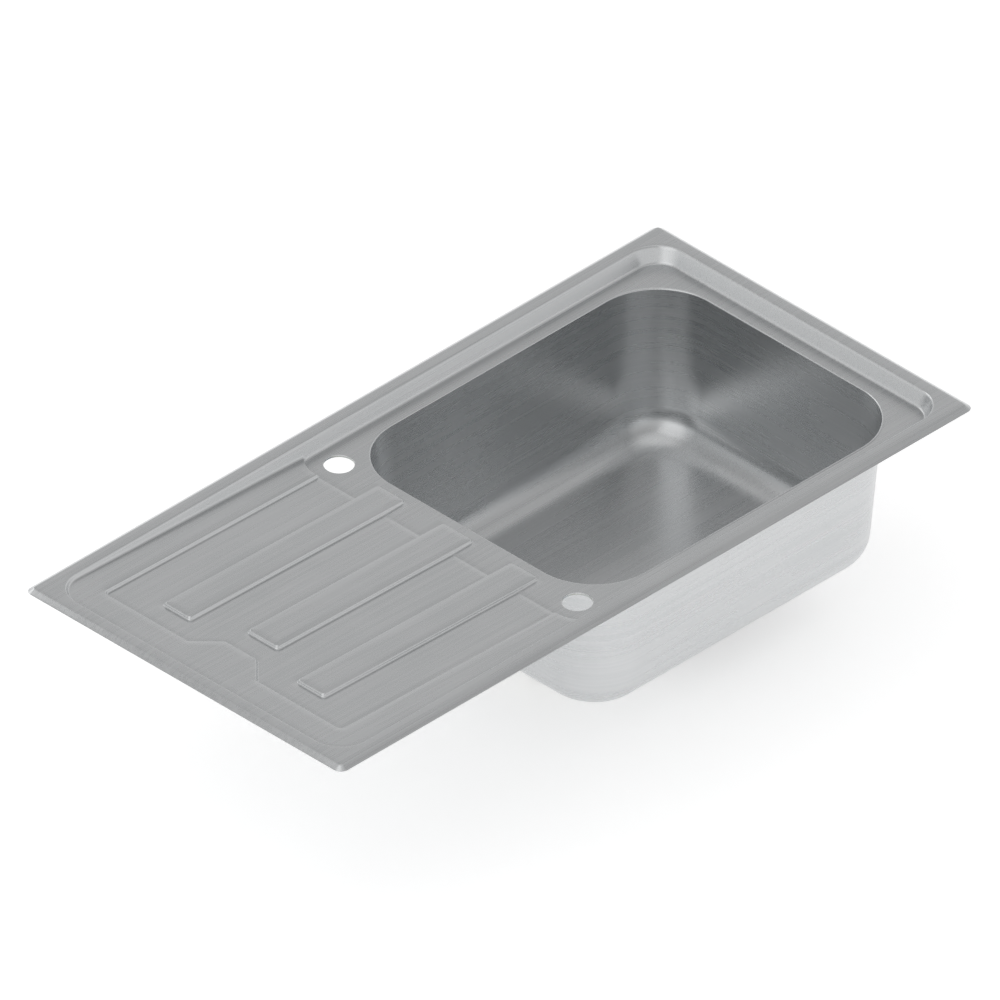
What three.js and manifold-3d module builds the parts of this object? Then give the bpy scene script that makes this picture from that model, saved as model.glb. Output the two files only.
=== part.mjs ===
// A pressed steel kitchen sink: one bowl on the right, a ribbed drainer on the left.
// Millimetres. X runs along the sink towards the bowl, Y towards the wall, Z up.
// While it is built, the front left corner of the rim is at x = 0, y = 0, and z = 0 is the worktop.

import * as THREE from "three";
import { mergeVertices } from "three/addons/utils/BufferGeometryUtils.js";
import Module from "manifold-3d";

const wasm = await Module();
wasm.setup();

// ---- Driving sizes ----------------------------------------------------------------------------

const SHEET = 1; // thickness of the steel
const FIT_GAP = 0.3; // between two pieces that touch
const TALL = 60; // how far a cutting shape runs past what it cuts

const SINK_LENGTH = 1000;
const SINK_WIDTH = 500;
const RIM_HEIGHT = 5.1;
const BEVEL_RUN = 7;
const RIM_LAND = 14.4; // flat top of the rim
const RIM_CORNER = 10.5;
const RECESS_CORNER = 40;
const DECK_DROP = 18.1; // from the rim's top down to the deck beside the bowl
const PRESS_DRAFT = THREE.MathUtils.degToRad(25);
const CORNER_STEPS = 7;

const BOWL_LENGTH = 500;
const BOWL_WIDTH = 400;
const BOWL_DEPTH = 190; // from the deck
const BOWL_CORNER = 80;
const BOWL_FILLET = 40;
const BOWL_DRAFT = THREE.MathUtils.degToRad(5);
const BOWL_TO_RIGHT_EDGE = 50;
const BOWL_FLANGE = 3.5;
const FILLET_STEPS = 6;

const DRAINER_SLOPE = 0.0252; // fall towards the bowl for each millimetre
const PANEL_STEP = 4.1; // depth of the lowered panel
const PANEL_INSET = 61.9;
const PANEL_CORNER = 8;
const PANEL_TO_BOWL = 49.2; // from the panel's low end to the bowl
const STRIP_END_RADIUS = 42;
const STRIP_END_CENTRE_INSET = 59.7;
const NOTCH_LENGTH = 30;
const NOTCH_TIP_WIDTH = 48;
const NOTCH_CORNER = 3;
const MIDDLE_RIB_WIDTH = 45.4;
const SIDE_RIB_WIDTH = 40.4;
const RIB_START_GAP = 35.6;
const RIB_TO_BOWL = 16.1;
const RIB_CORNER = 3;

const TAP_HOLE = 35;
const TAP_INSET = 62;
const TAP_PLATE = 54;
const TAP_CLEARANCE = 6.33; // between a tap hole's plate and the bowl's flange
const TAP_PLATE_THICKNESS = 2;
const ROUND_SIDES = 32;

const SEAL_INSET = 8.5;
const SEAL_WIDTH = 7.5;

const STIFFENER_WIDTH = 40;
const STIFFENER_CROWN = 18;
const STIFFENER_HEIGHT = 14;
const STIFFENER_LENGTH = 330;
const STIFFENER_FROM_PANEL = [90, 230];

const PAD_THICKNESS = 2;
const FLOOR_PAD = [200, 230];
const FLOOR_PAD_FROM_WASTE = 200;
const WALL_PAD_LENGTH = 300;
const WALL_PAD_HEIGHT = 95;
const END_PAD_LENGTH = 200;
const WALL_PAD_DROP = 75; // from the deck to the middle of a wall pad

const CLIP_INSET = 39; // from the rim's edge to the clip's screw
const CLIP_FROM_END = 215; // from the end of the sink to the front and rear clips
const CLIP_STEEL = 1.5;
const BRACKET_DEPTH = 13;
const BRACKET_HALF_SPAN = 9;
const BRACKET_WING = 12;
const SHELF_LEVEL = -24; // underside of the bracket's shelf
const SCREW_SIZE = 6;
const SCREW_TOP = -15;
const SCREW_HEAD = 10;
const SCREW_HEAD_HEIGHT = 3.6;
const SCREW_SOCKET = 4.6;
const SCREW_SOCKET_DEPTH = 2.2;
const SOCKET_SIDES = 6;
const WASHER_SIZE = 11;
const WASHER_THICKNESS = 1;
const CLAW_WIDTH = 12;
const CLAW_STEEL = 1.8;
const CLAW_HUB = 8; // flat part around the screw
const CLAW_JOG = 14; // where the strip has dropped to its lower level
const CLAW_DROP = 5.3;
const CLAW_REACH = 37;
const CLAW_TIP = 1.6; // the upturned tip that bites the worktop
const SMALL_SIDES = 16;

const EARTH_TAG_FROM_FLANGE = 15.5; // from the bowl's flange to the tag's middle
const EARTH_TAG_WIDTH = 14;
const EARTH_TAG_LEG = 18;
const EARTH_TAG_HOLE = 6;

const WASTE_FROM_BOWL_EDGE = 130; // from the bowl's left edge to the waste's centre
const WASTE_HOLE = 90;
const WASTE_FLANGE = 114;
const WASTE_SHEET = 1.2;
const FLANGE_SEAT = 1.5; // thickness of the upper gasket
const FLANGE_CROWN = 1.2;
const GASKET_SETBACK = 1; // of the upper gasket from the flange's edge
const CUP_RADIUS = 40;
const CUP_DEPTH = 37;
const CUP_FLOOR_RADIUS = 33;
const DRAIN_HOLES = 6;
const DRAIN_HOLE = 7;
const DRAIN_HOLE_CIRCLE = 16;
const LOWER_GASKET = 2.5;
const BODY_WALL = 3;
const BODY_RADIUS = 47;
const BODY_FLANGE = 55;
const BODY_FLANGE_THICKNESS = 3;
const BODY_DEPTH = 42; // from the bowl's underside to the start of the funnel
const FUNNEL_DROP = 13;
const OUTLET_RADIUS = 23;
const OUTLET_LENGTH = 14;
const WASTE_SCREW = 6;
const WASTE_SCREW_HEAD = 12;
const WASTE_SCREW_HEAD_HEIGHT = 3;
const WASTE_SCREW_LENGTH = 22;
const SLOT_WIDTH = 1.2;
const SLOT_DEPTH = 1;
const BOSS_RADIUS = 6;
const WEBS = 3;
const WEB_THICKNESS = 3;

const BASKET_RADIUS = 36.5;
const BASKET_FLOOR_RADIUS = 29;
const BASKET_LIP = 2;
const BASKET_SHEET = 1;
const BASKET_SLOTS = 20;
const BASKET_SLOT_WIDTH = 3;
const BASKET_SLOT_HEIGHT = 17;
const PLUG_RADIUS = 24;
const PLUG_THICKNESS = 3.4;
const PLUG_TO_SCREW = 1;
const KNOB_RADIUS = 9;
const KNOB_STEM = 3;
const KNOB_HEIGHT = 39;

const OVERFLOW_DROP = 47; // from the deck
const OVERFLOW_HOLE = 36;
const OVERFLOW_PLATE = 56;
const OVERFLOW_PLATE_THICKNESS = 2;
const OVERFLOW_HOLES = 8;
const OVERFLOW_SMALL_HOLE = 7;
const OVERFLOW_HOLE_CIRCLE = 12;
const OVERFLOW_GASKET = 3;
const ELBOW_RADIUS = 27;
const ELBOW_BODY = 18.5;
const ELBOW_LENGTH = 50;
const ELBOW_WALL = 2.5;
const ELBOW_FLANGE = 3;
const SPIGOT_RADIUS = 10;
const SPIGOT_BORE = 7.5;
const HOSE_DROP = 77; // from the deck to the top of the hose
const HOSE_STAND_OFF = 38; // from the bowl's edge to the hose
const HOSE_RADIUS = 11;
const HOSE_GROOVE = 9.6;
const HOSE_BORE = 7.6;
const HOSE_BEND = 88;
const HOSE_BEND_STEPS = 12;
const HOSE_PITCH = 4;
const HOSE_SIDES = 8;
const BORE_EVERY = 5;
const INLET_DROP = 24; // from the bowl's underside to the overflow inlet
const INLET_LENGTH = 12;
const NUT_RADIUS = 14.4;
const NUT_LENGTH = 14;
const NUT_SIDES = 12;

// ---- Places that follow from them ---------------------------------------------------------------

const DECK_LEVEL = RIM_HEIGHT - DECK_DROP;
const RECESS_INSET = BEVEL_RUN + RIM_LAND;
const BOWL_LEFT = SINK_LENGTH - BOWL_TO_RIGHT_EDGE - BOWL_LENGTH;
const BOWL_RIGHT = BOWL_LEFT + BOWL_LENGTH;
const BOWL_FRONT = (SINK_WIDTH - BOWL_WIDTH) / 2;
const BOWL_REAR = BOWL_FRONT + BOWL_WIDTH;
const MIDDLE_Y = SINK_WIDTH / 2;
const BOWL_FLOOR = DECK_LEVEL - BOWL_DEPTH;
const BOWL_TOP = DECK_LEVEL - SHEET - FIT_GAP;
const PANEL_END = BOWL_LEFT - PANEL_TO_BOWL;
const TAP_BESIDE_CORNER = BOWL_FRONT + BOWL_CORNER - TAP_INSET;
const TAP_FROM_CORNER = BOWL_CORNER + BOWL_FLANGE + TAP_CLEARANCE + TAP_PLATE / 2;
const TAP_BACK = Math.sqrt(TAP_FROM_CORNER ** 2 - TAP_BESIDE_CORNER ** 2);
const TAP_X = BOWL_LEFT + BOWL_CORNER - TAP_BACK;
const DRAFT_RUN = Math.tan(PRESS_DRAFT);
const DRAFT_SHIFT = SHEET / Math.cos(PRESS_DRAFT); // sideways offset of a drafted wall's outside
const STRIP_END = PANEL_END + DRAFT_SHIFT - SHEET * DRAFT_RUN + FIT_GAP; // clear of the panel's crease
const WASTE_X = BOWL_LEFT + WASTE_FROM_BOWL_EDGE;
const UNDER_BOWL = BOWL_FLOOR - SHEET;
const CUP_TOP = BOWL_FLOOR + FIT_GAP + FLANGE_SEAT + FIT_GAP;
const CUP_FLOOR = CUP_TOP - CUP_DEPTH;
const OVERFLOW_LEVEL = DECK_LEVEL - OVERFLOW_DROP;
const HOSE_X = BOWL_LEFT - HOSE_STAND_OFF;
const HOSE_TOP = DECK_LEVEL - HOSE_DROP;
const INLET_LEVEL = UNDER_BOWL - INLET_DROP;

/** Height of the drainer's upper surface, which falls towards the bowl. */
function drainerLevel(x) {
  return DECK_LEVEL + PANEL_STEP + (PANEL_END - x) * DRAINER_SLOPE;
}

// ---- Outlines and lofts -------------------------------------------------------------------------

/** The four corners of a rectangle, counter-clockwise, each rounded by the same radius. */
function rectangle(left, front, right, rear, radius, steps = CORNER_STEPS) {
  return [
    { x: left, y: front, radius, steps },
    { x: right, y: front, radius, steps },
    { x: right, y: rear, radius, steps },
    { x: left, y: rear, radius, steps },
  ];
}

/** Points of an outline moved inwards by inset, with its corners rounded about the same centres. */
function outline(corners, inset = 0) {
  const points = [];
  const count = corners.length;
  corners.forEach((corner, i) => {
    const before = corners[(i + count - 1) % count];
    const after = corners[(i + 1) % count];
    const here = new THREE.Vector2(corner.x, corner.y);
    const arrive = here.clone().sub(new THREE.Vector2(before.x, before.y)).normalize();
    const leave = new THREE.Vector2(after.x, after.y).sub(here).normalize();
    const normalIn = new THREE.Vector2(-arrive.y, arrive.x);
    const normalOut = new THREE.Vector2(-leave.y, leave.x);
    const turn = Math.atan2(arrive.cross(leave), arrive.dot(leave));
    const side = Math.sign(turn);
    const smallest = corner.radius / 10;
    const radius = Math.max(corner.radius - side * inset, smallest);
    const shift = inset / (1 + normalIn.dot(normalOut));
    const vertex = here.clone().addScaledVector(normalIn.clone().add(normalOut), shift);
    const start = vertex.clone().addScaledVector(arrive, -radius * Math.tan(Math.abs(turn) / 2));
    const centre = start.clone().addScaledVector(normalIn, side * radius);
    const first = start.clone().sub(centre).angle();
    for (let step = 0; step <= corner.steps; step++) {
      const angle = first + (turn * step) / corner.steps;
      points.push(new THREE.Vector2(Math.cos(angle), Math.sin(angle)).multiplyScalar(radius).add(centre));
    }
  });
  return points;
}

/** A closed skin over a stack of rings with equal counts. Ends are capped, or joined if looped. */
function skin(rings, looped = false) {
  const count = rings[0].length;
  const positions = rings.flat().flatMap((p) => [p.x, p.y, p.z]);
  const faces = [];
  const spans = looped ? rings.length : rings.length - 1;
  for (let k = 0; k < spans; k++) {
    const low = k * count;
    const high = ((k + 1) % rings.length) * count;
    for (let i = 0; i < count; i++) {
      const next = (i + 1) % count;
      faces.push(low + i, low + next, high + next, low + i, high + next, high + i);
    }
  }
  if (!looped) {
    const last = (rings.length - 1) * count;
    for (const [a, b, c] of THREE.ShapeUtils.triangulateShape(rings[0], [])) {
      faces.push(a, c, b);
    }
    for (const [a, b, c] of THREE.ShapeUtils.triangulateShape(rings.at(-1), [])) {
      faces.push(last + a, last + b, last + c);
    }
  }
  const geometry = new THREE.BufferGeometry();
  geometry.setAttribute("position", new THREE.Float32BufferAttribute(positions, 3));
  geometry.setIndex(faces);
  return geometry;
}

/** A ring of an outline at a height, which may be a function of x. */
function ring(corners, inset, height) {
  const level = typeof height === "function" ? height : () => height;
  return outline(corners, inset).map((p) => new THREE.Vector3(p.x, p.y, level(p.x)));
}

/** A solid between levels of one outline, each level being [height, inset]. */
function loft(corners, levels) {
  return skin(levels.map(([height, inset]) => ring(corners, inset, height)));
}

// ---- Solids, cuts and joins ---------------------------------------------------------------------

function solid(geometry) {
  const bare = geometry.clone();
  for (const name of Object.keys(bare.attributes)) {
    if (name !== "position") {
      bare.deleteAttribute(name);
    }
  }
  const merged = mergeVertices(bare);
  const vertProperties = new Float32Array(merged.attributes.position.array);
  const triVerts = new Uint32Array(merged.index.array);
  return new wasm.Manifold(new wasm.Mesh({ numProp: 3, vertProperties, triVerts }));
}

function surface(body) {
  const mesh = body.getMesh();
  const geometry = new THREE.BufferGeometry();
  geometry.setAttribute("position", new THREE.Float32BufferAttribute(mesh.vertProperties, mesh.numProp));
  geometry.setIndex([...mesh.triVerts]);
  return geometry;
}

function cut(geometry, ...tools) {
  return surface(tools.reduce((body, tool) => body.subtract(solid(tool)), solid(geometry)));
}

function join(geometry, ...others) {
  return surface(others.reduce((body, other) => body.add(solid(other)), solid(geometry)));
}

function common(geometry, ...others) {
  return surface(others.reduce((body, other) => body.intersect(solid(other)), solid(geometry)));
}

/** An upright cylinder. */
function post(radius, bottom, top, x = 0, y = 0, sides = ROUND_SIDES) {
  const geometry = new THREE.CylinderGeometry(radius, radius, top - bottom, sides);
  geometry.rotateX(Math.PI / 2);
  return geometry.translate(x, y, (bottom + top) / 2);
}

/** Upright cylinders, evenly spaced on a circle, that cut a ring of holes. */
function holeCircle(count, radius, size, bottom, top) {
  return Array.from({ length: count }, (_, i) => {
    const angle = (2 * Math.PI * i) / count;
    return post(size / 2, bottom, top, radius * Math.cos(angle), radius * Math.sin(angle), SMALL_SIDES);
  });
}

function block(left, front, bottom, right, rear, top) {
  const geometry = new THREE.BoxGeometry(right - left, rear - front, top - bottom);
  return geometry.translate((left + right) / 2, (front + rear) / 2, (bottom + top) / 2);
}

/** A turned solid about Z from [radius, height] pairs, going up the outside. */
function turned(profile, sides = ROUND_SIDES) {
  const geometry = new THREE.LatheGeometry(
    profile.map(([radius, height]) => new THREE.Vector2(radius, height)),
    sides,
  );
  return geometry.rotateX(Math.PI / 2);
}

/** A turned ring with a square section. */
function washer(inner, outer, bottom, top, sides = ROUND_SIDES) {
  return turned([[inner, bottom], [outer, bottom], [outer, top], [inner, top], [inner, bottom]], sides);
}

/** A strip bent to a profile in X and Z, extruded along Y about y = 0. */
function strip(profile, width) {
  const shape = new THREE.Shape(profile.map(([x, z]) => new THREE.Vector2(x, z)));
  const geometry = new THREE.ExtrudeGeometry(shape, { depth: width, bevelEnabled: false });
  geometry.rotateX(Math.PI / 2);
  return geometry.translate(0, width / 2, 0);
}

/** Moves every point up or down by a function of its place. */
function lift(geometry, amount) {
  const place = geometry.attributes.position;
  for (let i = 0; i < place.count; i++) {
    place.setZ(i, place.getZ(i) + amount(place.getX(i), place.getY(i), place.getZ(i)));
  }
  return geometry;
}

// ---- Deck ---------------------------------------------------------------------------------------

const RIM = rectangle(0, 0, SINK_LENGTH, SINK_WIDTH, RIM_CORNER);
const RECESS = rectangle(0, 0, SINK_LENGTH, SINK_WIDTH, RECESS_CORNER + RECESS_INSET);
const BOWL = rectangle(BOWL_LEFT, BOWL_FRONT, BOWL_RIGHT, BOWL_REAR, BOWL_CORNER);
const BEYOND = rectangle(-TALL, -TALL, SINK_LENGTH + TALL, SINK_WIDTH + TALL, 1, 1);

/** Everything above a level, which may be a function of x. */
function above(level) {
  return skin([ring(BEYOND, 0, level), ring(BEYOND, 0, TALL)]);
}

/** The drainer panel's outline: a rectangle with a land standing into it from the left. */
function panelCorners() {
  const left = PANEL_INSET;
  const right = BOWL_LEFT;
  const front = PANEL_INSET;
  const rear = SINK_WIDTH - PANEL_INSET;
  const tip = left + NOTCH_LENGTH;
  const halfTip = NOTCH_TIP_WIDTH / 2;
  const halfBase = halfTip + NOTCH_LENGTH;
  const small = { radius: NOTCH_CORNER, steps: 2 };
  return [
    { x: left, y: front, radius: PANEL_CORNER, steps: CORNER_STEPS },
    { x: right, y: front, radius: NOTCH_CORNER, steps: 1 },
    { x: right, y: rear, radius: NOTCH_CORNER, steps: 1 },
    { x: left, y: rear, radius: PANEL_CORNER, steps: CORNER_STEPS },
    { x: left, y: MIDDLE_Y + halfBase, ...small },
    { x: tip, y: MIDDLE_Y + halfTip, ...small },
    { x: tip, y: MIDDLE_Y - halfTip, ...small },
    { x: left, y: MIDDLE_Y - halfBase, ...small },
  ];
}

/** The three ribs' outlines at the drainer's level, with even grooves between them. */
function ribCorners() {
  const panelWidth = SINK_WIDTH - 2 * PANEL_INSET;
  const groove = (panelWidth - MIDDLE_RIB_WIDTH - 2 * SIDE_RIB_WIDTH) / 4;
  const right = BOWL_LEFT - RIB_TO_BOWL;
  const sideStart = PANEL_INSET + RIB_START_GAP;
  const ribs = [
    [sideStart, PANEL_INSET + groove, SIDE_RIB_WIDTH],
    [sideStart + NOTCH_LENGTH, MIDDLE_Y - MIDDLE_RIB_WIDTH / 2, MIDDLE_RIB_WIDTH],
    [sideStart, SINK_WIDTH - PANEL_INSET - groove - SIDE_RIB_WIDTH, SIDE_RIB_WIDTH],
  ];
  return ribs.map(([left, front, width]) => rectangle(left, front, right, front + width, RIB_CORNER, 3));
}

/** The space pressed out of the deck. Grown by a sheet, it is the outside of the pressing. */
function pressedSpace(sheet) {
  const shift = sheet * (DRAFT_SHIFT / SHEET);
  const deck = DECK_LEVEL - sheet;
  const recessWall = (z) => [z, RECESS_INSET + (RIM_HEIGHT - z) * DRAFT_RUN - shift];
  const recess = loft(RECESS, [recessWall(deck - PANEL_STEP), recessWall(RIM_HEIGHT + SHEET)]);
  const high = common(recess, above((x) => drainerLevel(x) - sheet), above(deck));
  const stripEnd = rectangle(
    STRIP_END,
    STRIP_END_CENTRE_INSET - STRIP_END_RADIUS,
    SINK_LENGTH + TALL,
    SINK_WIDTH - STRIP_END_CENTRE_INSET + STRIP_END_RADIUS,
    STRIP_END_RADIUS,
  );
  const endWall = (z) => [z, (DECK_LEVEL - z) * DRAFT_RUN - shift];
  const lowSide = loft(stripEnd, [endWall(deck - PANEL_STEP), endWall(TALL / 2)]);
  const low = common(recess, lowSide, above(deck));
  const fromDrainer = (depth) => [(x) => drainerLevel(x) - depth, depth * DRAFT_RUN - shift];
  const panel = loft(panelCorners(), [fromDrainer(PANEL_STEP + sheet), fromDrainer(-PANEL_STEP / 2)]);
  const lowered = common(panel, above(deck));
  const ribs = ribCorners().map((corners) => {
    const side = (depth) => [(x) => drainerLevel(x) - depth, shift - depth * DRAFT_RUN];
    return loft(corners, [side(2 * PANEL_STEP + 2 * sheet), side(sheet)]);
  });
  return cut(join(high, low, lowered), ...ribs);
}

function deck() {
  const bevel = (z) => (BEVEL_RUN * z) / RIM_HEIGHT;
  const lip = (SHEET * Math.hypot(BEVEL_RUN, RIM_HEIGHT)) / RIM_HEIGHT;
  const under = RIM_HEIGHT - SHEET;
  const outside = loft(RIM, [[0, 0], [RIM_HEIGHT, BEVEL_RUN]]);
  const inside = loft(RIM, [[-SHEET, lip + bevel(-SHEET)], [under, lip + bevel(under)]]);
  const pressing = cut(pressedSpace(SHEET), above(RIM_HEIGHT));
  const opening = loft(BOWL, [[DECK_LEVEL - TALL, 0], [DECK_LEVEL + SHEET, 0]]);
  const holes = [TAP_INSET, SINK_WIDTH - TAP_INSET].map((y) =>
    post(TAP_HOLE / 2, DECK_LEVEL - TALL, DECK_LEVEL + TALL, TAP_X, y),
  );
  return cut(join(cut(outside, inside), pressing), pressedSpace(0), opening, ...holes);
}

// ---- Bowl ---------------------------------------------------------------------------------------

/** Inset of the bowl's wall at a level, for the inside (sheet 0) or the outside. */
function bowlWall(level, sheet) {
  return (DECK_LEVEL - level) * Math.tan(BOWL_DRAFT) - sheet / Math.cos(BOWL_DRAFT);
}

/** Levels of the bowl's wall and fillet, from the rim down to the floor. */
function bowlLevels(top, sheet) {
  const centreLevel = BOWL_FLOOR + BOWL_FILLET;
  const centreInset = bowlWall(centreLevel, 0) + BOWL_FILLET / Math.cos(BOWL_DRAFT);
  const radius = BOWL_FILLET + sheet;
  const levels = [[top, bowlWall(top, sheet)]];
  for (let step = 0; step <= FILLET_STEPS; step++) {
    const angle = THREE.MathUtils.lerp(BOWL_DRAFT, Math.PI / 2, step / FILLET_STEPS);
    levels.push([centreLevel - radius * Math.sin(angle), centreInset - radius * Math.cos(angle)]);
  }
  return levels;
}

/** Sets a piece on the bowl's left wall: its Z leaves the wall's inside and points into the bowl. */
function atOverflow(geometry) {
  geometry.rotateY(Math.PI / 2 - BOWL_DRAFT);
  return geometry.translate(BOWL_LEFT + bowlWall(OVERFLOW_LEVEL, 0), MIDDLE_Y, OVERFLOW_LEVEL);
}

function bowl() {
  const outside = bowlLevels(BOWL_TOP - SHEET, SHEET).reverse();
  const flange = [[BOWL_TOP - SHEET, -BOWL_FLANGE], [BOWL_TOP, -BOWL_FLANGE]];
  const shell = loft(BOWL, [...outside, ...flange, ...bowlLevels(BOWL_TOP, 0)]);
  const wasteHole = post(WASTE_HOLE / 2, UNDER_BOWL - SHEET, BOWL_FLOOR + SHEET, WASTE_X, MIDDLE_Y);
  const overflowHole = atOverflow(post(OVERFLOW_HOLE / 2, -3 * SHEET, 2 * SHEET));
  return cut(shell, wasteHole, overflowHole);
}

// ---- Under the deck -----------------------------------------------------------------------------

function rimSeal() {
  const top = RIM_HEIGHT - SHEET - FIT_GAP;
  const outer = SEAL_INSET;
  const inner = SEAL_INSET + SEAL_WIDTH;
  const section = [[0, outer], [top, outer], [top, inner], [0, inner]];
  const corners = rectangle(0, 0, SINK_LENGTH, SINK_WIDTH, RECESS_CORNER);
  return skin(section.map(([z, inset]) => ring(corners, inset, z)), true);
}

function tapHolePlate(y) {
  const top = DECK_LEVEL - SHEET - FIT_GAP;
  const bottom = top - TAP_PLATE_THICKNESS;
  return washer(TAP_HOLE / 2 + FIT_GAP, TAP_PLATE / 2, bottom, top).translate(TAP_X, y, 0);
}

/** A hat channel across the drainer's underside, with its wings on the grooves. */
function stiffener(fromPanel) {
  const x = PANEL_INSET + fromPanel;
  const wing = STIFFENER_WIDTH / 2;
  const crown = STIFFENER_CROWN / 2;
  const steel = SHEET;
  const low = -STIFFENER_HEIGHT;
  const profile = [
    [-wing, -steel], [-crown, -steel], [-crown, low], [crown, low], [crown, -steel], [wing, -steel],
    [wing, 0], [crown - steel, 0], [crown - steel, low + steel],
    [steel - crown, low + steel], [steel - crown, 0], [-wing, 0],
  ];
  const seat = (px) => drainerLevel(px) - PANEL_STEP - SHEET - FIT_GAP;
  return lift(strip(profile, STIFFENER_LENGTH).translate(x, MIDDLE_Y, 0), seat);
}

function floorPad() {
  const [length, width] = FLOOR_PAD;
  const left = WASTE_X + FLOOR_PAD_FROM_WASTE - length / 2;
  const front = MIDDLE_Y - width / 2;
  const top = UNDER_BOWL - FIT_GAP;
  return block(left, front, top - PAD_THICKNESS, left + length, front + width, top);
}

/** A pad on the outside of one of the bowl's drafted walls, which faces along X. */
function wallPad(length) {
  const slab = block(0, -length / 2, -WALL_PAD_HEIGHT / 2, PAD_THICKNESS, length / 2, WALL_PAD_HEIGHT / 2);
  const off = -bowlWall(DECK_LEVEL - WALL_PAD_DROP, SHEET) + FIT_GAP;
  return slab.rotateY(BOWL_DRAFT).translate(off, 0, DECK_LEVEL - WALL_PAD_DROP);
}

function earthTag() {
  const top = DECK_LEVEL - SHEET - FIT_GAP;
  const half = EARTH_TAG_WIDTH / 2;
  const leg = top - EARTH_TAG_LEG;
  const profile = [
    [-half, leg], [SHEET - half, leg], [SHEET - half, top - SHEET],
    [half, top - SHEET], [half, top], [-half, top],
  ];
  const hole = post(EARTH_TAG_HOLE / 2, -EARTH_TAG_WIDTH, EARTH_TAG_WIDTH, 0, 0, SMALL_SIDES);
  hole.rotateY(Math.PI / 2).translate(0, 0, leg + EARTH_TAG_WIDTH / 2);
  const tag = cut(strip(profile, EARTH_TAG_WIDTH), hole);
  const diagonal = (BOWL_CORNER + BOWL_FLANGE + EARTH_TAG_FROM_FLANGE) * Math.SQRT1_2;
  return tag.translate(BOWL_RIGHT - BOWL_CORNER + diagonal, BOWL_REAR - BOWL_CORNER + diagonal, 0);
}

// ---- Clips --------------------------------------------------------------------------------------

const SCREW_CLEAR = SCREW_SIZE / 2 + FIT_GAP;
const CLAW_TOP = SHELF_LEVEL - FIT_GAP;
const WASHER_TOP = CLAW_TOP - CLAW_STEEL - FIT_GAP;
const HEAD_TOP = WASHER_TOP - WASHER_THICKNESS - FIT_GAP;

/** A hat bracket whose wings lie flat under the deck. Local X runs along the rim. */
function clipBracket(deckUnderside) {
  const span = BRACKET_HALF_SPAN;
  const wing = span + BRACKET_WING;
  const steel = CLIP_STEEL;
  const profile = [
    [-wing, -steel], [-span, -steel], [-span, SHELF_LEVEL],
    [span, SHELF_LEVEL], [span, -steel], [wing, -steel],
    [wing, 0], [span - steel, 0], [span - steel, SHELF_LEVEL + steel],
    [steel - span, SHELF_LEVEL + steel], [steel - span, 0], [-wing, 0],
  ];
  const hat = strip(profile, BRACKET_DEPTH);
  lift(hat, (x, y, z) => (z > -2 * steel ? deckUnderside(x, y) - FIT_GAP : 0));
  return cut(hat, post(SCREW_CLEAR, SHELF_LEVEL - steel, SHELF_LEVEL + 2 * steel, 0, 0, SMALL_SIDES));
}

function clipScrew() {
  const head = SCREW_HEAD / 2;
  const thread = SCREW_SIZE / 2;
  const bottom = HEAD_TOP - SCREW_HEAD_HEIGHT;
  const profile = [
    [0, bottom], [head, bottom], [head, HEAD_TOP],
    [thread, HEAD_TOP], [thread, SCREW_TOP], [0, SCREW_TOP],
  ];
  const socket = post(SCREW_SOCKET / 2, bottom - SHEET, bottom + SCREW_SOCKET_DEPTH, 0, 0, SOCKET_SIDES);
  return cut(turned(profile, SMALL_SIDES), socket);
}

function clipWasher() {
  return washer(SCREW_CLEAR, WASHER_SIZE / 2, WASHER_TOP - WASHER_THICKNESS, WASHER_TOP, SMALL_SIDES);
}

/** A strip that hangs on the screw, jogs down and ends in an upturned tip. Local X runs along it. */
function clipClaw() {
  const steel = CLAW_STEEL;
  const high = CLAW_TOP - steel;
  const low = high - CLAW_DROP;
  const heel = -SCREW_HEAD / 2 - steel;
  const profile = [
    [heel, high], [CLAW_HUB, high], [CLAW_JOG, low], [CLAW_REACH, low],
    [CLAW_REACH, low + steel + CLAW_TIP], [CLAW_REACH - steel, low + steel + CLAW_TIP],
    [CLAW_REACH - steel, low + steel],
    [CLAW_JOG + steel / 2, low + steel], [CLAW_HUB + steel / 2, CLAW_TOP], [heel, CLAW_TOP],
  ];
  return cut(strip(profile, CLAW_WIDTH), post(SCREW_CLEAR, 2 * low, 0, 0, 0, SMALL_SIDES));
}

/** Where each clip's screw stands, and the angle about Z at which its claw lies along the rim. */
function clipPlaces() {
  const far = SINK_LENGTH - CLIP_FROM_END;
  const rear = SINK_WIDTH - CLIP_INSET;
  return [
    { x: CLIP_FROM_END, y: CLIP_INSET, folded: Math.PI },
    { x: far, y: CLIP_INSET, folded: Math.PI },
    { x: SINK_LENGTH - CLIP_INSET, y: MIDDLE_Y, folded: -Math.PI / 2 },
    { x: far, y: rear, folded: 0 },
    { x: CLIP_FROM_END, y: rear, folded: 0 },
    { x: CLIP_INSET, y: MIDDLE_Y, folded: Math.PI / 2 },
  ];
}

// ---- Waste --------------------------------------------------------------------------------------

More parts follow.
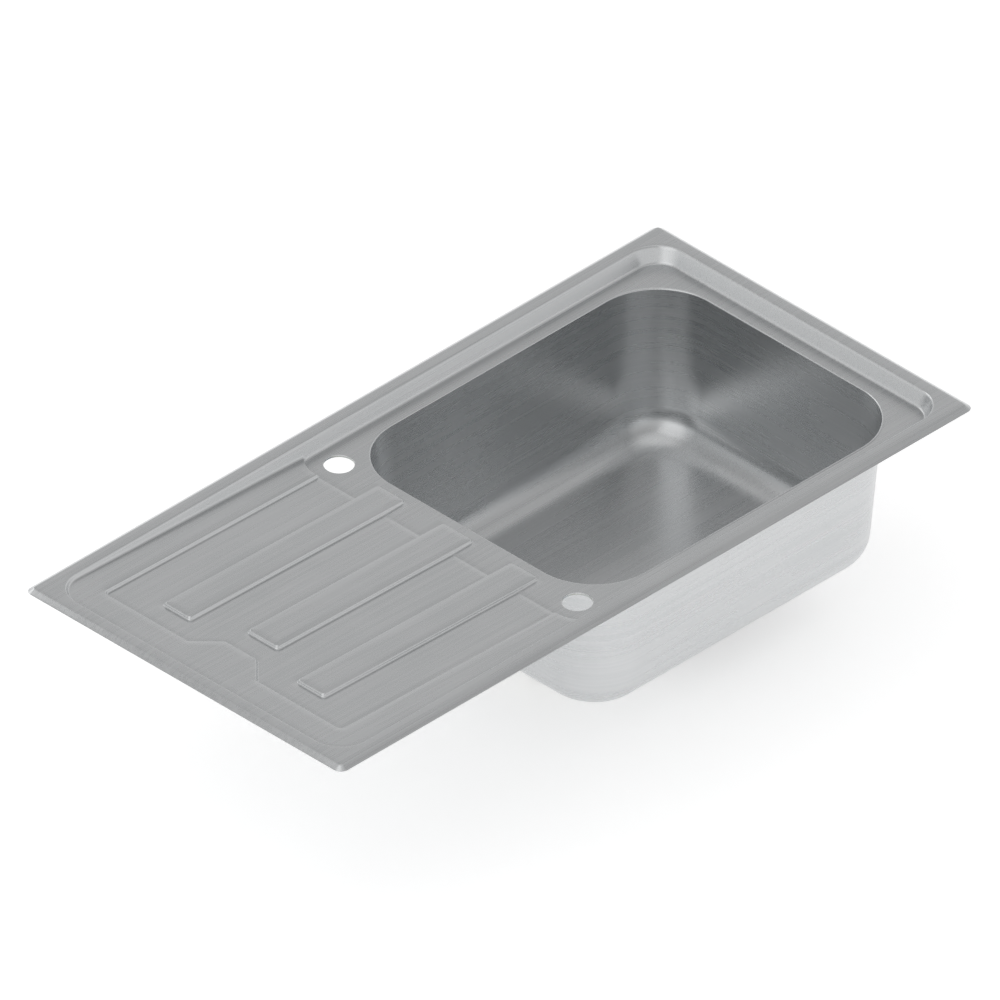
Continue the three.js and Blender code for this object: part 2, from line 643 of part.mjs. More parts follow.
function wasteFlange() {
  const sheet = WASTE_SHEET;
  const edge = WASTE_FLANGE / 2;
  const out = CUP_RADIUS + sheet;
  const floorOut = CUP_FLOOR_RADIUS + sheet;
  const cup = turned([
    [0, CUP_FLOOR - sheet], [floorOut, CUP_FLOOR - sheet], [out, CUP_TOP], [edge, CUP_TOP],
    [edge, CUP_TOP + sheet], [CUP_RADIUS + 4 * sheet, CUP_TOP + FLANGE_CROWN + sheet],
    [CUP_RADIUS, CUP_TOP], [CUP_FLOOR_RADIUS, CUP_FLOOR], [0, CUP_FLOOR],
  ]);
  const below = CUP_FLOOR - 2 * sheet;
  const middle = post(WASTE_SCREW / 2 + FIT_GAP, below, CUP_FLOOR + sheet, 0, 0, SMALL_SIDES);
  const drains = holeCircle(DRAIN_HOLES, DRAIN_HOLE_CIRCLE, DRAIN_HOLE, below, CUP_FLOOR + sheet);
  return cut(cup, middle, ...drains);
}

function upperGasket() {
  const bottom = BOWL_FLOOR + FIT_GAP;
  return washer(WASTE_HOLE / 2, WASTE_FLANGE / 2 - GASKET_SETBACK, bottom, bottom + FLANGE_SEAT);
}

function lowerGasket() {
  const top = UNDER_BOWL - FIT_GAP;
  return washer(BODY_RADIUS - BODY_WALL, BODY_FLANGE, top - LOWER_GASKET, top);
}

/** The moulded body under the bowl: cup, funnel, threaded outlet, centre boss and overflow inlet. */
function wasteBody() {
  const top = UNDER_BOWL - LOWER_GASKET - 2 * FIT_GAP;
  const wall = BODY_WALL;
  const shoulder = UNDER_BOWL - BODY_DEPTH;
  const throat = shoulder - FUNNEL_DROP;
  const end = throat - OUTLET_LENGTH;
  const inner = OUTLET_RADIUS - wall;
  const shell = turned([
    [inner, end], [OUTLET_RADIUS, end], [OUTLET_RADIUS, throat], [BODY_RADIUS, shoulder],
    [BODY_RADIUS, top - BODY_FLANGE_THICKNESS], [BODY_FLANGE, top - BODY_FLANGE_THICKNESS],
    [BODY_FLANGE, top], [BODY_RADIUS - wall, top], [BODY_RADIUS - wall, shoulder + wall],
    [inner, throat + wall], [inner, end],
  ]);
  const boss = post(BOSS_RADIUS, throat, CUP_FLOOR - WASTE_SHEET - FIT_GAP);
  const half = WEB_THICKNESS / 2;
  const reach = OUTLET_RADIUS - wall / 2;
  const webs = Array.from({ length: WEBS }, (_, i) =>
    block(0, -half, throat, reach, half, throat + 2 * wall).rotateZ((2 * Math.PI * i) / WEBS),
  );
  const inlet = post(SPIGOT_RADIUS, BODY_RADIUS - wall / 2, BODY_RADIUS + INLET_LENGTH, 0, 0, SMALL_SIDES);
  const bore = post(SPIGOT_BORE, CUP_RADIUS, BODY_RADIUS + INLET_LENGTH + wall, 0, 0, SMALL_SIDES);
  for (const side of [inlet, bore]) {
    side.rotateY(-Math.PI / 2).translate(0, 0, INLET_LEVEL);
  }
  const depth = CUP_FLOOR - WASTE_SCREW_LENGTH;
  const thread = post(WASTE_SCREW / 2 + FIT_GAP, depth, CUP_FLOOR, 0, 0, SMALL_SIDES);
  return cut(join(shell, boss, ...webs, inlet), bore, thread);
}

/** What cuts the driver's slot across a screw head. */
function driverSlot(head, top) {
  const half = SLOT_WIDTH / 2;
  return block(-head - SHEET, -half, top - SLOT_DEPTH, head + SHEET, half, top + SHEET);
}

function wasteScrew() {
  const seat = CUP_FLOOR + FIT_GAP;
  const head = WASTE_SCREW_HEAD / 2;
  const top = seat + WASTE_SCREW_HEAD_HEIGHT;
  const end = CUP_FLOOR - WASTE_SCREW_LENGTH + FIT_GAP;
  const shank = WASTE_SCREW / 2;
  const profile = [[0, end], [shank, end], [shank, seat], [head, seat], [head, top], [0, top]];
  return cut(turned(profile, SMALL_SIDES), driverSlot(head, top));
}

const PLUG_TOP = CUP_FLOOR + FIT_GAP + PLUG_THICKNESS;
const BASKET_FLOOR = PLUG_TOP + FIT_GAP + BASKET_SHEET;

function basket() {
  const sheet = BASKET_SHEET;
  const rim = BASKET_RADIUS;
  const wall = rim - BASKET_LIP;
  const top = CUP_TOP;
  const cup = turned([
    [0, BASKET_FLOOR - sheet], [BASKET_FLOOR_RADIUS, BASKET_FLOOR - sheet], [wall, top - sheet],
    [rim, top - sheet], [rim, top], [wall - sheet, top],
    [BASKET_FLOOR_RADIUS - sheet, BASKET_FLOOR], [0, BASKET_FLOOR],
  ]);
  const middle = (BASKET_FLOOR + top) / 2;
  const half = BASKET_SLOT_WIDTH / 2;
  const tall = BASKET_SLOT_HEIGHT / 2;
  const slots = Array.from({ length: BASKET_SLOTS }, (_, i) =>
    block(CUP_FLOOR_RADIUS / 2, -half, middle - tall, CUP_RADIUS, half, middle + tall)
      .rotateZ((2 * Math.PI * i) / BASKET_SLOTS),
  );
  const stem = post(KNOB_STEM + FIT_GAP, BASKET_FLOOR - 2 * sheet, BASKET_FLOOR + sheet, 0, 0, SMALL_SIDES);
  return cut(cup, stem, ...slots);
}

function basketPlug() {
  const bottom = CUP_FLOOR + FIT_GAP;
  const middle = WASTE_SCREW_HEAD / 2 + PLUG_TO_SCREW;
  return washer(middle, PLUG_RADIUS, bottom, PLUG_TOP);
}

function basketKnob() {
  const foot = BASKET_FLOOR + FIT_GAP;
  const top = foot + KNOB_HEIGHT;
  const under = top - KNOB_RADIUS;
  return turned([
    [0, BASKET_FLOOR - BASKET_SHEET], [KNOB_STEM, BASKET_FLOOR - BASKET_SHEET], [KNOB_STEM, foot],
    [2 * KNOB_STEM, foot], [2 * KNOB_STEM, foot + SHEET], [KNOB_STEM, foot + 2 * SHEET],
    [KNOB_STEM, under], [KNOB_RADIUS, under + KNOB_STEM], [KNOB_RADIUS, top - SHEET],
    [KNOB_RADIUS - SHEET, top], [0, top],
  ]);
}

// ---- Overflow -----------------------------------------------------------------------------------

function overflowPlate() {
  const bottom = FIT_GAP;
  const top = bottom + OVERFLOW_PLATE_THICKNESS;
  const radius = OVERFLOW_PLATE / 2;
  const profile = [[0, bottom], [radius, bottom], [radius, top - SHEET], [radius - SHEET, top], [0, top]];
  const plate = turned(profile);
  const middle = post(WASTE_SCREW / 2 + FIT_GAP, 0, top + SHEET, 0, 0, SMALL_SIDES);
  const holes = holeCircle(OVERFLOW_HOLES, OVERFLOW_HOLE_CIRCLE, OVERFLOW_SMALL_HOLE, 0, top + SHEET);
  return cut(plate, middle, ...holes);
}

const OVERFLOW_PLATE_TOP = FIT_GAP + OVERFLOW_PLATE_THICKNESS;
const GASKET_FACE = -SHEET - FIT_GAP;
const ELBOW_FACE = GASKET_FACE - OVERFLOW_GASKET - FIT_GAP;

function overflowScrew() {
  const seat = OVERFLOW_PLATE_TOP + FIT_GAP;
  const head = WASTE_SCREW_HEAD / 2;
  const shank = WASTE_SCREW / 2;
  const end = ELBOW_FACE - ELBOW_LENGTH / 2;
  const top = seat + WASTE_SCREW_HEAD_HEIGHT;
  const profile = [[0, end], [shank, end], [shank, seat], [head, seat], [head - SHEET, top], [0, top]];
  return cut(turned(profile, SMALL_SIDES), driverSlot(head, top));
}

function overflowGasket() {
  return washer(OVERFLOW_HOLE / 2, ELBOW_RADIUS, GASKET_FACE - OVERFLOW_GASKET, GASKET_FACE);
}

/** The moulded elbow behind the bowl's wall, open to the wall and with a spigot pointing down. */
function overflowElbow() {
  const back = ELBOW_FACE - ELBOW_LENGTH;
  const inner = ELBOW_BODY - ELBOW_WALL;
  const flange = ELBOW_FACE - ELBOW_FLANGE;
  const screwEnd = ELBOW_FACE - ELBOW_LENGTH / 2 - FIT_GAP;
  const outside = atOverflow(turned([
    [0, back], [ELBOW_BODY, back], [ELBOW_BODY, flange],
    [ELBOW_RADIUS, flange], [ELBOW_RADIUS, ELBOW_FACE], [0, ELBOW_FACE],
  ]));
  const inside = atOverflow(post(inner, back + ELBOW_WALL, ELBOW_FACE + SHEET));
  const boss = atOverflow(post(BOSS_RADIUS, back + ELBOW_WALL / 2, flange, 0, 0, SMALL_SIDES));
  const thread = atOverflow(post(WASTE_SCREW / 2 + FIT_GAP, screwEnd, ELBOW_FACE, 0, 0, SMALL_SIDES));
  const spigotTop = OVERFLOW_LEVEL - ELBOW_BODY / 2;
  const spigot = post(SPIGOT_RADIUS, HOSE_TOP + FIT_GAP, spigotTop, HOSE_X, MIDDLE_Y, SMALL_SIDES);
  const bore = post(SPIGOT_BORE, HOSE_TOP - SHEET, spigotTop, HOSE_X, MIDDLE_Y, SMALL_SIDES);
  return cut(join(cut(join(outside, spigot), inside, bore), boss), thread);
}

/** The hose's centre line: straight down, a quarter bend, then straight into the waste body. */
function hosePath() {
  const bendStart = INLET_LEVEL + HOSE_BEND;
  const end = WASTE_X - BODY_RADIUS - INLET_LENGTH - FIT_GAP;
  const path = new THREE.CurvePath();
  const at = (x, z) => new THREE.Vector3(x, MIDDLE_Y, z);
  path.add(new THREE.LineCurve3(at(HOSE_X, HOSE_TOP), at(HOSE_X, bendStart)));
  const turnAt = (i) => {
    const angle = Math.PI + (Math.PI / 2) * (i / HOSE_BEND_STEPS);
    return at(HOSE_X + HOSE_BEND + HOSE_BEND * Math.cos(angle), bendStart + HOSE_BEND * Math.sin(angle));
  };
  for (let i = 0; i < HOSE_BEND_STEPS; i++) {
    path.add(new THREE.LineCurve3(turnAt(i), turnAt(i + 1)));
  }
  path.add(new THREE.LineCurve3(at(HOSE_X + HOSE_BEND, INLET_LEVEL), at(end, INLET_LEVEL)));
  return path;
}

/** A ring of points square to the hose's path at a share of its length. */
function hoseRing(path, share, radius) {
  const centre = path.getPointAt(share);
  const along = path.getTangentAt(share);
  const side = new THREE.Vector3(0, 1, 0);
  const up = new THREE.Vector3().crossVectors(along, side);
  return Array.from({ length: HOSE_SIDES }, (_, i) => {
    const angle = (2 * Math.PI * i) / HOSE_SIDES;
    const point = centre.clone().addScaledVector(side, radius * Math.cos(angle));
    return point.addScaledVector(up, radius * Math.sin(angle));
  });
}

function overflowHose() {
  const path = hosePath();
  const ribs = Math.round(path.getLength() / HOSE_PITCH);
  const outside = [];
  for (let i = 0; i <= 2 * ribs; i++) {
    const plain = i === 0 || i === 2 * ribs;
    outside.push(hoseRing(path, i / (2 * ribs), i % 2 && !plain ? HOSE_RADIUS : HOSE_GROOVE));
  }
  const boreRings = Math.ceil(ribs / BORE_EVERY);
  const inside = [];
  for (let i = boreRings; i >= 0; i--) {
    inside.push(hoseRing(path, i / boreRings, HOSE_BORE));
  }
  return skin([...outside, ...inside], true);
}

function hoseNut() {
  const bore = (HOSE_RADIUS + FIT_GAP) / Math.cos(Math.PI / NUT_SIDES);
  return washer(bore, NUT_RADIUS, -NUT_LENGTH / 2, NUT_LENGTH / 2, NUT_SIDES);
}

// ---- Assembly -----------------------------------------------------------------------------------

function finish(color, metalness, roughness) {
  return new THREE.MeshStandardMaterial({ color, metalness, roughness });
}

const steel = finish(0xc9cccf, 1, 0.32);
const zinc = finish(0xb4b8ba, 1, 0.45);
const rubber = finish(0x1d1e20, 0, 0.85);
const foam = finish(0x3a3c3e, 0, 0.95);
const bitumen = finish(0x2b2b2c, 0, 0.9);
const whitePlastic = finish(0xe9e9e6, 0, 0.45);
const greyPlastic = finish(0x8d9194, 0, 0.5);

const sink = new THREE.Group();
sink.position.set(-SINK_LENGTH / 2, -SINK_WIDTH / 2, 0);

function place(name, geometry, material, x = 0, y = 0, turn = 0, z = 0) {
  const mesh = new THREE.Mesh(geometry, material.clone());
  mesh.name = name;
  mesh.position.set(x, y, z);
  mesh.rotation.z = turn;
  sink.add(mesh);
  return mesh;
}

place("deck", deck(), steel);
place("bowl", bowl(), steel);
place("rim_seal", rimSeal(), foam);
place("tap_hole_plate_front", tapHolePlate(TAP_INSET), zinc);
place("tap_hole_plate_rear", tapHolePlate(SINK_WIDTH - TAP_INSET), zinc);
place("drainer_stiffener_left", stiffener(STIFFENER_FROM_PANEL[0]), zinc);
place("drainer_stiffener_right", stiffener(STIFFENER_FROM_PANEL[1]), zinc);
place("sound_pad_floor", floorPad(), bitumen);
const rearPad = wallPad(WALL_PAD_LENGTH);
place("sound_pad_rear", rearPad, bitumen, (BOWL_LEFT + BOWL_RIGHT) / 2, BOWL_REAR, Math.PI / 2);
place("sound_pad_right", wallPad(END_PAD_LENGTH), bitumen, BOWL_RIGHT, MIDDLE_Y);
place("earth_tag", earthTag(), zinc);

clipPlaces().forEach(({ x, y, folded }, i) => {
  const number = i + 1;
  const underside = (localX, localY) => {
    const sinkX = x + localX * Math.cos(folded) - localY * Math.sin(folded);
    return Math.max(drainerLevel(sinkX), DECK_LEVEL) - SHEET;
  };
  place(`clip_bracket_${number}`, clipBracket(underside), zinc, x, y, folded);
  place(`clip_screw_${number}`, clipScrew(), zinc, x, y, folded);
  place(`clip_washer_${number}`, clipWasher(), zinc, x, y, folded);
  place(`clip_claw_${number}`, clipClaw(), zinc, x, y, folded);
});

place("waste_flange", wasteFlange(), steel, WASTE_X, MIDDLE_Y);
place("waste_gasket_upper", upperGasket(), rubber, WASTE_X, MIDDLE_Y);
place("waste_gasket_lower", lowerGasket(), rubber, WASTE_X, MIDDLE_Y);
place("waste_body", wasteBody(), whitePlastic, WASTE_X, MIDDLE_Y);
place("waste_screw", wasteScrew(), steel, WASTE_X, MIDDLE_Y);
place("basket", basket(), steel, WASTE_X, MIDDLE_Y);
place("basket_plug", basketPlug(), rubber, WASTE_X, MIDDLE_Y);
place("basket_knob", basketKnob(), steel, WASTE_X, MIDDLE_Y);

place("overflow_plate", atOverflow(overflowPlate()), steel);
place("overflow_screw", atOverflow(overflowScrew()), steel);
place("overflow_gasket", atOverflow(overflowGasket()), rubber);
place("overflow_elbow", overflowElbow(), whitePlastic);
place("overflow_hose", overflowHose(), greyPlastic);
place("hose_nut_top", hoseNut(), whitePlastic, HOSE_X, MIDDLE_Y, 0, HOSE_TOP);
const lowerNut = place(
  "hose_nut_bottom", hoseNut(), whitePlastic,
  WASTE_X - BODY_RADIUS - INLET_LENGTH, MIDDLE_Y, 0, INLET_LEVEL,
);
lowerNut.rotation.y = Math.PI / 2;

export default sink;
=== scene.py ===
import math

import bpy
import numpy as np
from mathutils import Matrix, Vector
from mathutils.geometry import delaunay_2d_cdt, tessellate_polygon


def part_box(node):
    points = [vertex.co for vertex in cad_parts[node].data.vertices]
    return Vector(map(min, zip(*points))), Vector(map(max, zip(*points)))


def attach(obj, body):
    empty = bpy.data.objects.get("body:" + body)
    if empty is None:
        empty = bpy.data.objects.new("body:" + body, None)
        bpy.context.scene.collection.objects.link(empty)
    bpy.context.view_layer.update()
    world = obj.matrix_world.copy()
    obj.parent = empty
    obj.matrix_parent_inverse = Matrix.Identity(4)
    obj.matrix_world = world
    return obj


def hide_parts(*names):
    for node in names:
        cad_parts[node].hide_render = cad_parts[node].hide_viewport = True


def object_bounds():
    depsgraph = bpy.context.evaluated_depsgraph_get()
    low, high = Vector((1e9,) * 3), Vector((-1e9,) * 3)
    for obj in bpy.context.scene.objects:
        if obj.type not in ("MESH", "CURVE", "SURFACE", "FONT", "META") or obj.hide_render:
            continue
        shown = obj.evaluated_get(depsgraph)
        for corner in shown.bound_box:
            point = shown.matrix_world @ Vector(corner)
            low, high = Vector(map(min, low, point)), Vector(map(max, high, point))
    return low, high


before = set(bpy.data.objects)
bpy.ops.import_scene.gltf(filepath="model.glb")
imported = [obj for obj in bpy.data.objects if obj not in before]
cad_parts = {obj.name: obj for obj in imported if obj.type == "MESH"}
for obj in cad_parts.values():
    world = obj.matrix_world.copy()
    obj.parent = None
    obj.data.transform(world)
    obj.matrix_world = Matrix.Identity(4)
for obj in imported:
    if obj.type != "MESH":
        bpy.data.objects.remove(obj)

cad_low, cad_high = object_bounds()

# ---- Camera, floor and light ----------------------------------------------------------------------
# The drawing is a true isometric view, so the camera has no perspective and stands at the isometric
# angle. The sink hangs by its rim, as it does in a worktop, a little above a plain white floor.

VIEW_AZIMUTH = math.radians(-45)
VIEW_ELEVATION = math.atan(1 / math.sqrt(2))
VIEW_WIDTH = 1.1156
VIEW_CENTRE = Vector((-0.0001, -0.00104, 0))
CAMERA_DISTANCE = 3

camera_data = bpy.data.cameras.new("isometric_view")
camera_data.type = "ORTHO"
camera_data.ortho_scale = VIEW_WIDTH
camera = bpy.data.objects.new("isometric_view", camera_data)
bpy.context.collection.objects.link(camera)
towards_camera = Vector((
    math.sin(VIEW_AZIMUTH) * math.cos(VIEW_ELEVATION),
    -math.cos(VIEW_AZIMUTH) * math.cos(VIEW_ELEVATION),
    math.sin(VIEW_ELEVATION),
))
camera.location = VIEW_CENTRE + towards_camera * CAMERA_DISTANCE
camera.rotation_euler = (-towards_camera).to_track_quat("-Z", "Y").to_euler()
bpy.context.scene.camera = camera
bpy.context.scene.view_settings.view_transform = "Standard"


def linear(hex_colour):
    """An sRGB hex colour as linear red, green, blue and alpha."""
    shares = [int(hex_colour[i:i + 2], 16) / 255 for i in (1, 3, 5)]
    return [s / 12.92 if s <= 0.04045 else ((s + 0.055) / 1.055) ** 2.4 for s in shares] + [1]


def add_node(tree, kind, values=None, links=None, **settings):
    """Adds a node with its settings, its sockets' values and its links, each from (node, output)."""
    node = tree.nodes.new("ShaderNode" + kind)
    for name, value in settings.items():
        setattr(node, name, value)
    for socket, value in (values or {}).items():
        node.inputs[socket].default_value = value
    for socket, (source, output) in (links or {}).items():
        tree.links.new(source.outputs[output], node.inputs[socket])
    return node


def new_material(name):
    """An empty material with its output, as (material, node tree, output)."""
    material = bpy.data.materials.new(name)
    material.use_nodes = True
    material.node_tree.nodes.clear()
    return material, material.node_tree, add_node(material.node_tree, "OutputMaterial")


FLOOR_HALF = 8
FLOOR_GAP = 0.004
FLOOR_LIFT = 0.46


def white_floor_paint():
    """White paint. Seen by the camera or in a gloss it is lifted to white, and keeps its shadows. From
    below the floor can be looked through, so that the sink's underside can be seen."""
    material, tree, output = new_material("white_floor_paint")
    rays = add_node(tree, "LightPath")
    seen = add_node(
        tree, "Math", links={0: (rays, "Is Camera Ray"), 1: (rays, "Is Glossy Ray")}, operation="ADD",
    )
    through = add_node(
        tree, "Math", links={0: (seen, 0), 1: (rays, "Is Transmission Ray")}, operation="ADD",
    )
    lift = add_node(tree, "Math", {1: FLOOR_LIFT}, {0: (through, 0)}, operation="MULTIPLY")
    paint = add_node(tree, "BsdfDiffuse", {"Color": linear("#F5F5F5")})
    glow = add_node(tree, "Emission", {"Color": linear("#FFFFFF")}, {"Strength": (lift, 0)})
    both = add_node(tree, "AddShader", links={0: (paint, 0), 1: (glow, 0)})
    side = add_node(tree, "NewGeometry")
    under = add_node(
        tree, "Math", links={0: (side, "Backfacing"), 1: (rays, "Is Camera Ray")}, operation="MULTIPLY",
    )
    clear = add_node(tree, "BsdfTransparent")
    surface = add_node(tree, "MixShader", links={0: (under, 0), 1: (both, 0), 2: (clear, 0)})
    tree.links.new(surface.outputs[0], output.inputs["Surface"])
    return material


floor_mesh = bpy.data.meshes.new("floor")
floor_level = cad_low.z - FLOOR_GAP
floor_mesh.from_pydata(
    [(x * FLOOR_HALF, y * FLOOR_HALF, floor_level) for x, y in ((-1, -1), (1, -1), (1, 1), (-1, 1))],
    [], [(0, 1, 2, 3)],
)
floor_mesh.materials.append(white_floor_paint())
floor = bpy.data.objects.new("floor", floor_mesh)
bpy.context.collection.objects.link(floor)

ROOM_TONES = ((0.2, 0.9), (0.75, 0.45), (0.95, 0.8))
world = bpy.data.worlds.new("white_room")
world.use_nodes = True
world.node_tree.nodes.clear()
room_place = add_node(world.node_tree, "TexCoord")
room_axes = add_node(world.node_tree, "SeparateXYZ", links={0: (room_place, "Generated")})
room_tone = add_node(world.node_tree, "ValToRGB", links={0: (room_axes, "Z")})
room_tone.color_ramp.elements.new(ROOM_TONES[1][0])
for element, (height, tone) in zip(room_tone.color_ramp.elements, ROOM_TONES):
    element.position = height
    element.color = (tone, tone, tone, 1)
room_light = add_node(world.node_tree, "Background", {"Strength": 1.0}, {"Color": (room_tone, 0)})
add_node(world.node_tree, "OutputWorld", links={"Surface": (room_light, 0)})
bpy.context.scene.world = world

LAMP_TARGET = Vector((0, 0, -0.05))


def soft_box(name, place, size, power):
    """A lamp in a diffusing box, which a real studio would hang there, turned to the sink."""
    lamp = bpy.data.lights.new(name, "AREA")
    lamp.shape = "RECTANGLE"
    lamp.size, lamp.size_y = size
    lamp.energy = power
    holder = bpy.data.objects.new(name, lamp)
    holder.location = place
    holder.rotation_euler = (Vector(place) - LAMP_TARGET).to_track_quat("Z", "Y").to_euler()
    bpy.context.collection.objects.link(holder)


soft_box("key_box", (-2.25, -0.3, 1.9), (2.8, 2.8), 12)
soft_box("rear_box", (-0.5, 2.6, 1.5), (2.0, 1.0), 5.5)

# ---- Deck -----------------------------------------------------------------------------------------
# The deck is one sheet of 1 mm stainless steel, pressed in a die: a bevelled rim, a drafted recess, the
# drainer with its lowered panel and ribs, and the level shelf round the bowl. Every fold has a small
# radius. The top is satin, brushed along the sink on a belt.

MM = 0.001
SHEET = 1.0
RIM_TOP = 5.1
BEVEL_RUN = 7.0
RIM_LAND = 14.4
RIM_CORNER = 10.5
RECESS_CORNER = 40.0
DECK_LEVEL = RIM_TOP - 18.1
WALL_RUN = math.tan(math.radians(25))
DRAINER_FALL = 0.0252
PANEL_STEP = 4.1
PANEL_INSET = 61.9
PANEL_CORNER = 8.0
FINE_CHORD = 0.8
STRIP_END_RADIUS = 42.0
STRIP_END_CENTRE = 59.7
NOTCH_LENGTH = 30.0
NOTCH_TIP = 48.0
NOTCH_CORNER = 3.0
MIDDLE_RIB = 45.4
SIDE_RIB = 40.4
RIB_START = 35.6
RIB_CORNER = 3.0
RIM_FOLD = 0.9
WALL_FOLD = 3.0
PANEL_FOLD = 1.7
NO_FOLD = 0.001
CREASE_FOLD = 0.14
TAP_RADIUS = 17.5
TAP_LIP = 1.0
TAP_LIP_DROP = 0.35
PANEL_FOOT = PANEL_STEP * WALL_RUN
ROLL_WIDTH = 10.0
ROLL_DROP = 0.5
RIM_ROLL_WIDTH = 6.0
RIM_ROLL_DROP = 0.16
CREASE_ROLL_WIDTH = 8.0
CREASE_ROLL_DROP = 0.45
BOWL_WELD = 3.5
BOWL_CORNER = 80.0
SEAM_INSET = -3.0
PANEL_END_GAP = 49.2
STRIP_END_GAP = 48.3
RIB_END_GAP = 16.1
HOLE_MARGIN, RIM_MARGIN = 0.2, 0.01
SHARP_EDGE = math.radians(30)
METAL = {"Metallic": 1.0}


def solid_box(node):
    """The low and the high corner of a node's solid, in millimetres."""
    low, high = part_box(node)
    return low / MM, high / MM


deck_high = solid_box("deck")[1]
half_length, half_width = round(deck_high.x, 1), round(deck_high.y, 1)
bowl_low, bowl_high = solid_box("bowl")
bowl_left, bowl_right = round(bowl_low.x + BOWL_WELD, 1), round(bowl_high.x - BOWL_WELD, 1)
bowl_half_width = round(bowl_high.y - BOWL_WELD, 1)
panel_end = bowl_left - PANEL_END_GAP
strip_end = bowl_left - STRIP_END_GAP
rib_end = bowl_left - RIB_END_GAP
tap_places = []
for node in ("tap_hole_plate_front", "tap_hole_plate_rear"):
    low, high = solid_box(node)
    tap_places.append((round((low.x + high.x) / 2, 1), round((low.y + high.y) / 2, 1)))


def rectangle(left, front, right, rear, radius):
    """A rectangle's corners, counter-clockwise, each (x, y, radius)."""
    return [(left, front, radius), (right, front, radius), (right, rear, radius), (left, rear, radius)]


def parallel(corners, inset=0.0, chord=2.5):
    """An outline moved inwards, its corners rounded about the same centres, as an array of points."""
    points = []
    for i, (x, y, radius) in enumerate(corners):
        here = np.array((x, y))
        arrive = here - np.array(corners[i - 1][:2])
        leave = np.array(corners[(i + 1) % len(corners)][:2]) - here
        arrive = arrive / np.linalg.norm(arrive)
        leave = leave / np.linalg.norm(leave)
        turn = math.atan2(arrive[0] * leave[1] - arrive[1] * leave[0], arrive @ leave)
        side = math.copysign(1, turn)
        normal = np.array((-arrive[1], arrive[0]))
        both = normal + np.array((-leave[1], leave[0]))
        rounding = max(radius - side * inset, radius / 10)
        vertex = here + both * inset / (1 + arrive @ leave)
        start = vertex - arrive * rounding * math.tan(abs(turn) / 2)
        centre = start + normal * side * rounding
        first = math.atan2(*(start - centre)[::-1])
        steps = max(3, math.ceil(radius * abs(turn) / chord))
        for step in range(steps + 1):
            angle = first + turn * step / steps
            points.append(centre + rounding * np.array((math.cos(angle), math.sin(angle))))
    return np.array(points)


def inside_distance(points, loop):
    """Distance of each point from a closed outline, positive inside it."""
    found = []
    starts, ends = loop, np.roll(loop, -1, axis=0)
    spans = ends - starts
    lengths = np.maximum((spans ** 2).sum(1), 1e-12)
    for some in np.array_split(points, max(1, len(points) // 2000)):
        offset = some[:, None, :] - starts[None]
        along = np.clip((offset * spans).sum(2) / lengths, 0, 1)
        nearest = np.sqrt(((offset - along[..., None] * spans) ** 2).sum(2)).min(1)
        rising = (starts[None, :, 1] > some[:, None, 1]) != (ends[None, :, 1] > some[:, None, 1])
        height = np.where(np.abs(spans[:, 1]) < 1e-12, 1e-12, spans[:, 1])
        crossing = starts[:, 0] + (some[:, None, 1] - starts[:, 1]) / height * spans[:, 0]
        odd = (rising & (some[:, None, 0] < crossing)).sum(1) % 2
        found.append(np.where(odd == 1, nearest, -nearest))
    return np.concatenate(found)


def fold_up(a, b, size):
    """The higher of two surfaces, with the fold between them rounded."""
    return np.maximum(a, b) + np.maximum(size - np.abs(a - b), 0) ** 2 / (4 * size)


def fold_down(a, b, size):
    """The lower of two surfaces, with the fold between them rounded."""
    return -fold_up(-a, -b, size)


rim = rectangle(-half_length, -half_width, half_length, half_width, RIM_CORNER)
recess_inset = BEVEL_RUN + RIM_LAND
recess_length, recess_width = half_length - recess_inset, half_width - recess_inset
recess = rectangle(-recess_length, -recess_width, recess_length, recess_width, RECESS_CORNER)
strip_side = half_width - STRIP_END_CENTRE + STRIP_END_RADIUS
low_side = rectangle(strip_end, -strip_side, half_length + recess_inset, strip_side, STRIP_END_RADIUS)
panel_left = PANEL_INSET - half_length
panel_side = half_width - PANEL_INSET
notch_tip = panel_left + NOTCH_LENGTH
notch_base = NOTCH_TIP / 2 + NOTCH_LENGTH
panel = [
    (panel_left, -panel_side, PANEL_CORNER), (bowl_left, -panel_side, NOTCH_CORNER),
    (bowl_left, panel_side, NOTCH_CORNER), (panel_left, panel_side, PANEL_CORNER),
    (panel_left, notch_base, NOTCH_CORNER), (notch_tip, NOTCH_TIP / 2, NOTCH_CORNER),
    (notch_tip, -NOTCH_TIP / 2, NOTCH_CORNER), (panel_left, -notch_base, NOTCH_CORNER),
]
groove = (2 * panel_side - MIDDLE_RIB - 2 * SIDE_RIB) / 4
side_start = panel_left + RIB_START
ribs = [
    rectangle(side_start, groove - panel_side, rib_end, groove + SIDE_RIB - panel_side, RIB_CORNER),
    rectangle(side_start + NOTCH_LENGTH, -MIDDLE_RIB / 2, rib_end, MIDDLE_RIB / 2, RIB_CORNER),
    rectangle(side_start, panel_side - groove - SIDE_RIB, rib_end, panel_side - groove, RIB_CORNER),
]
bowl_outline = rectangle(bowl_left, -bowl_half_width, bowl_right, bowl_half_width, BOWL_CORNER)


def drainer_level(x):
    """Height of the sloping drainer at a place along the sink."""
    return DECK_LEVEL + PANEL_STEP + (panel_end - x) * DRAINER_FALL


def rolled_in(away, drop=ROLL_DROP, width=ROLL_WIDTH):
    """How far a pressed flat sinks beside a fold. No such flat is quite flat, and a light shows it."""
    return drop * np.clip(1 - np.abs(away) / width, 0, 1) ** 2


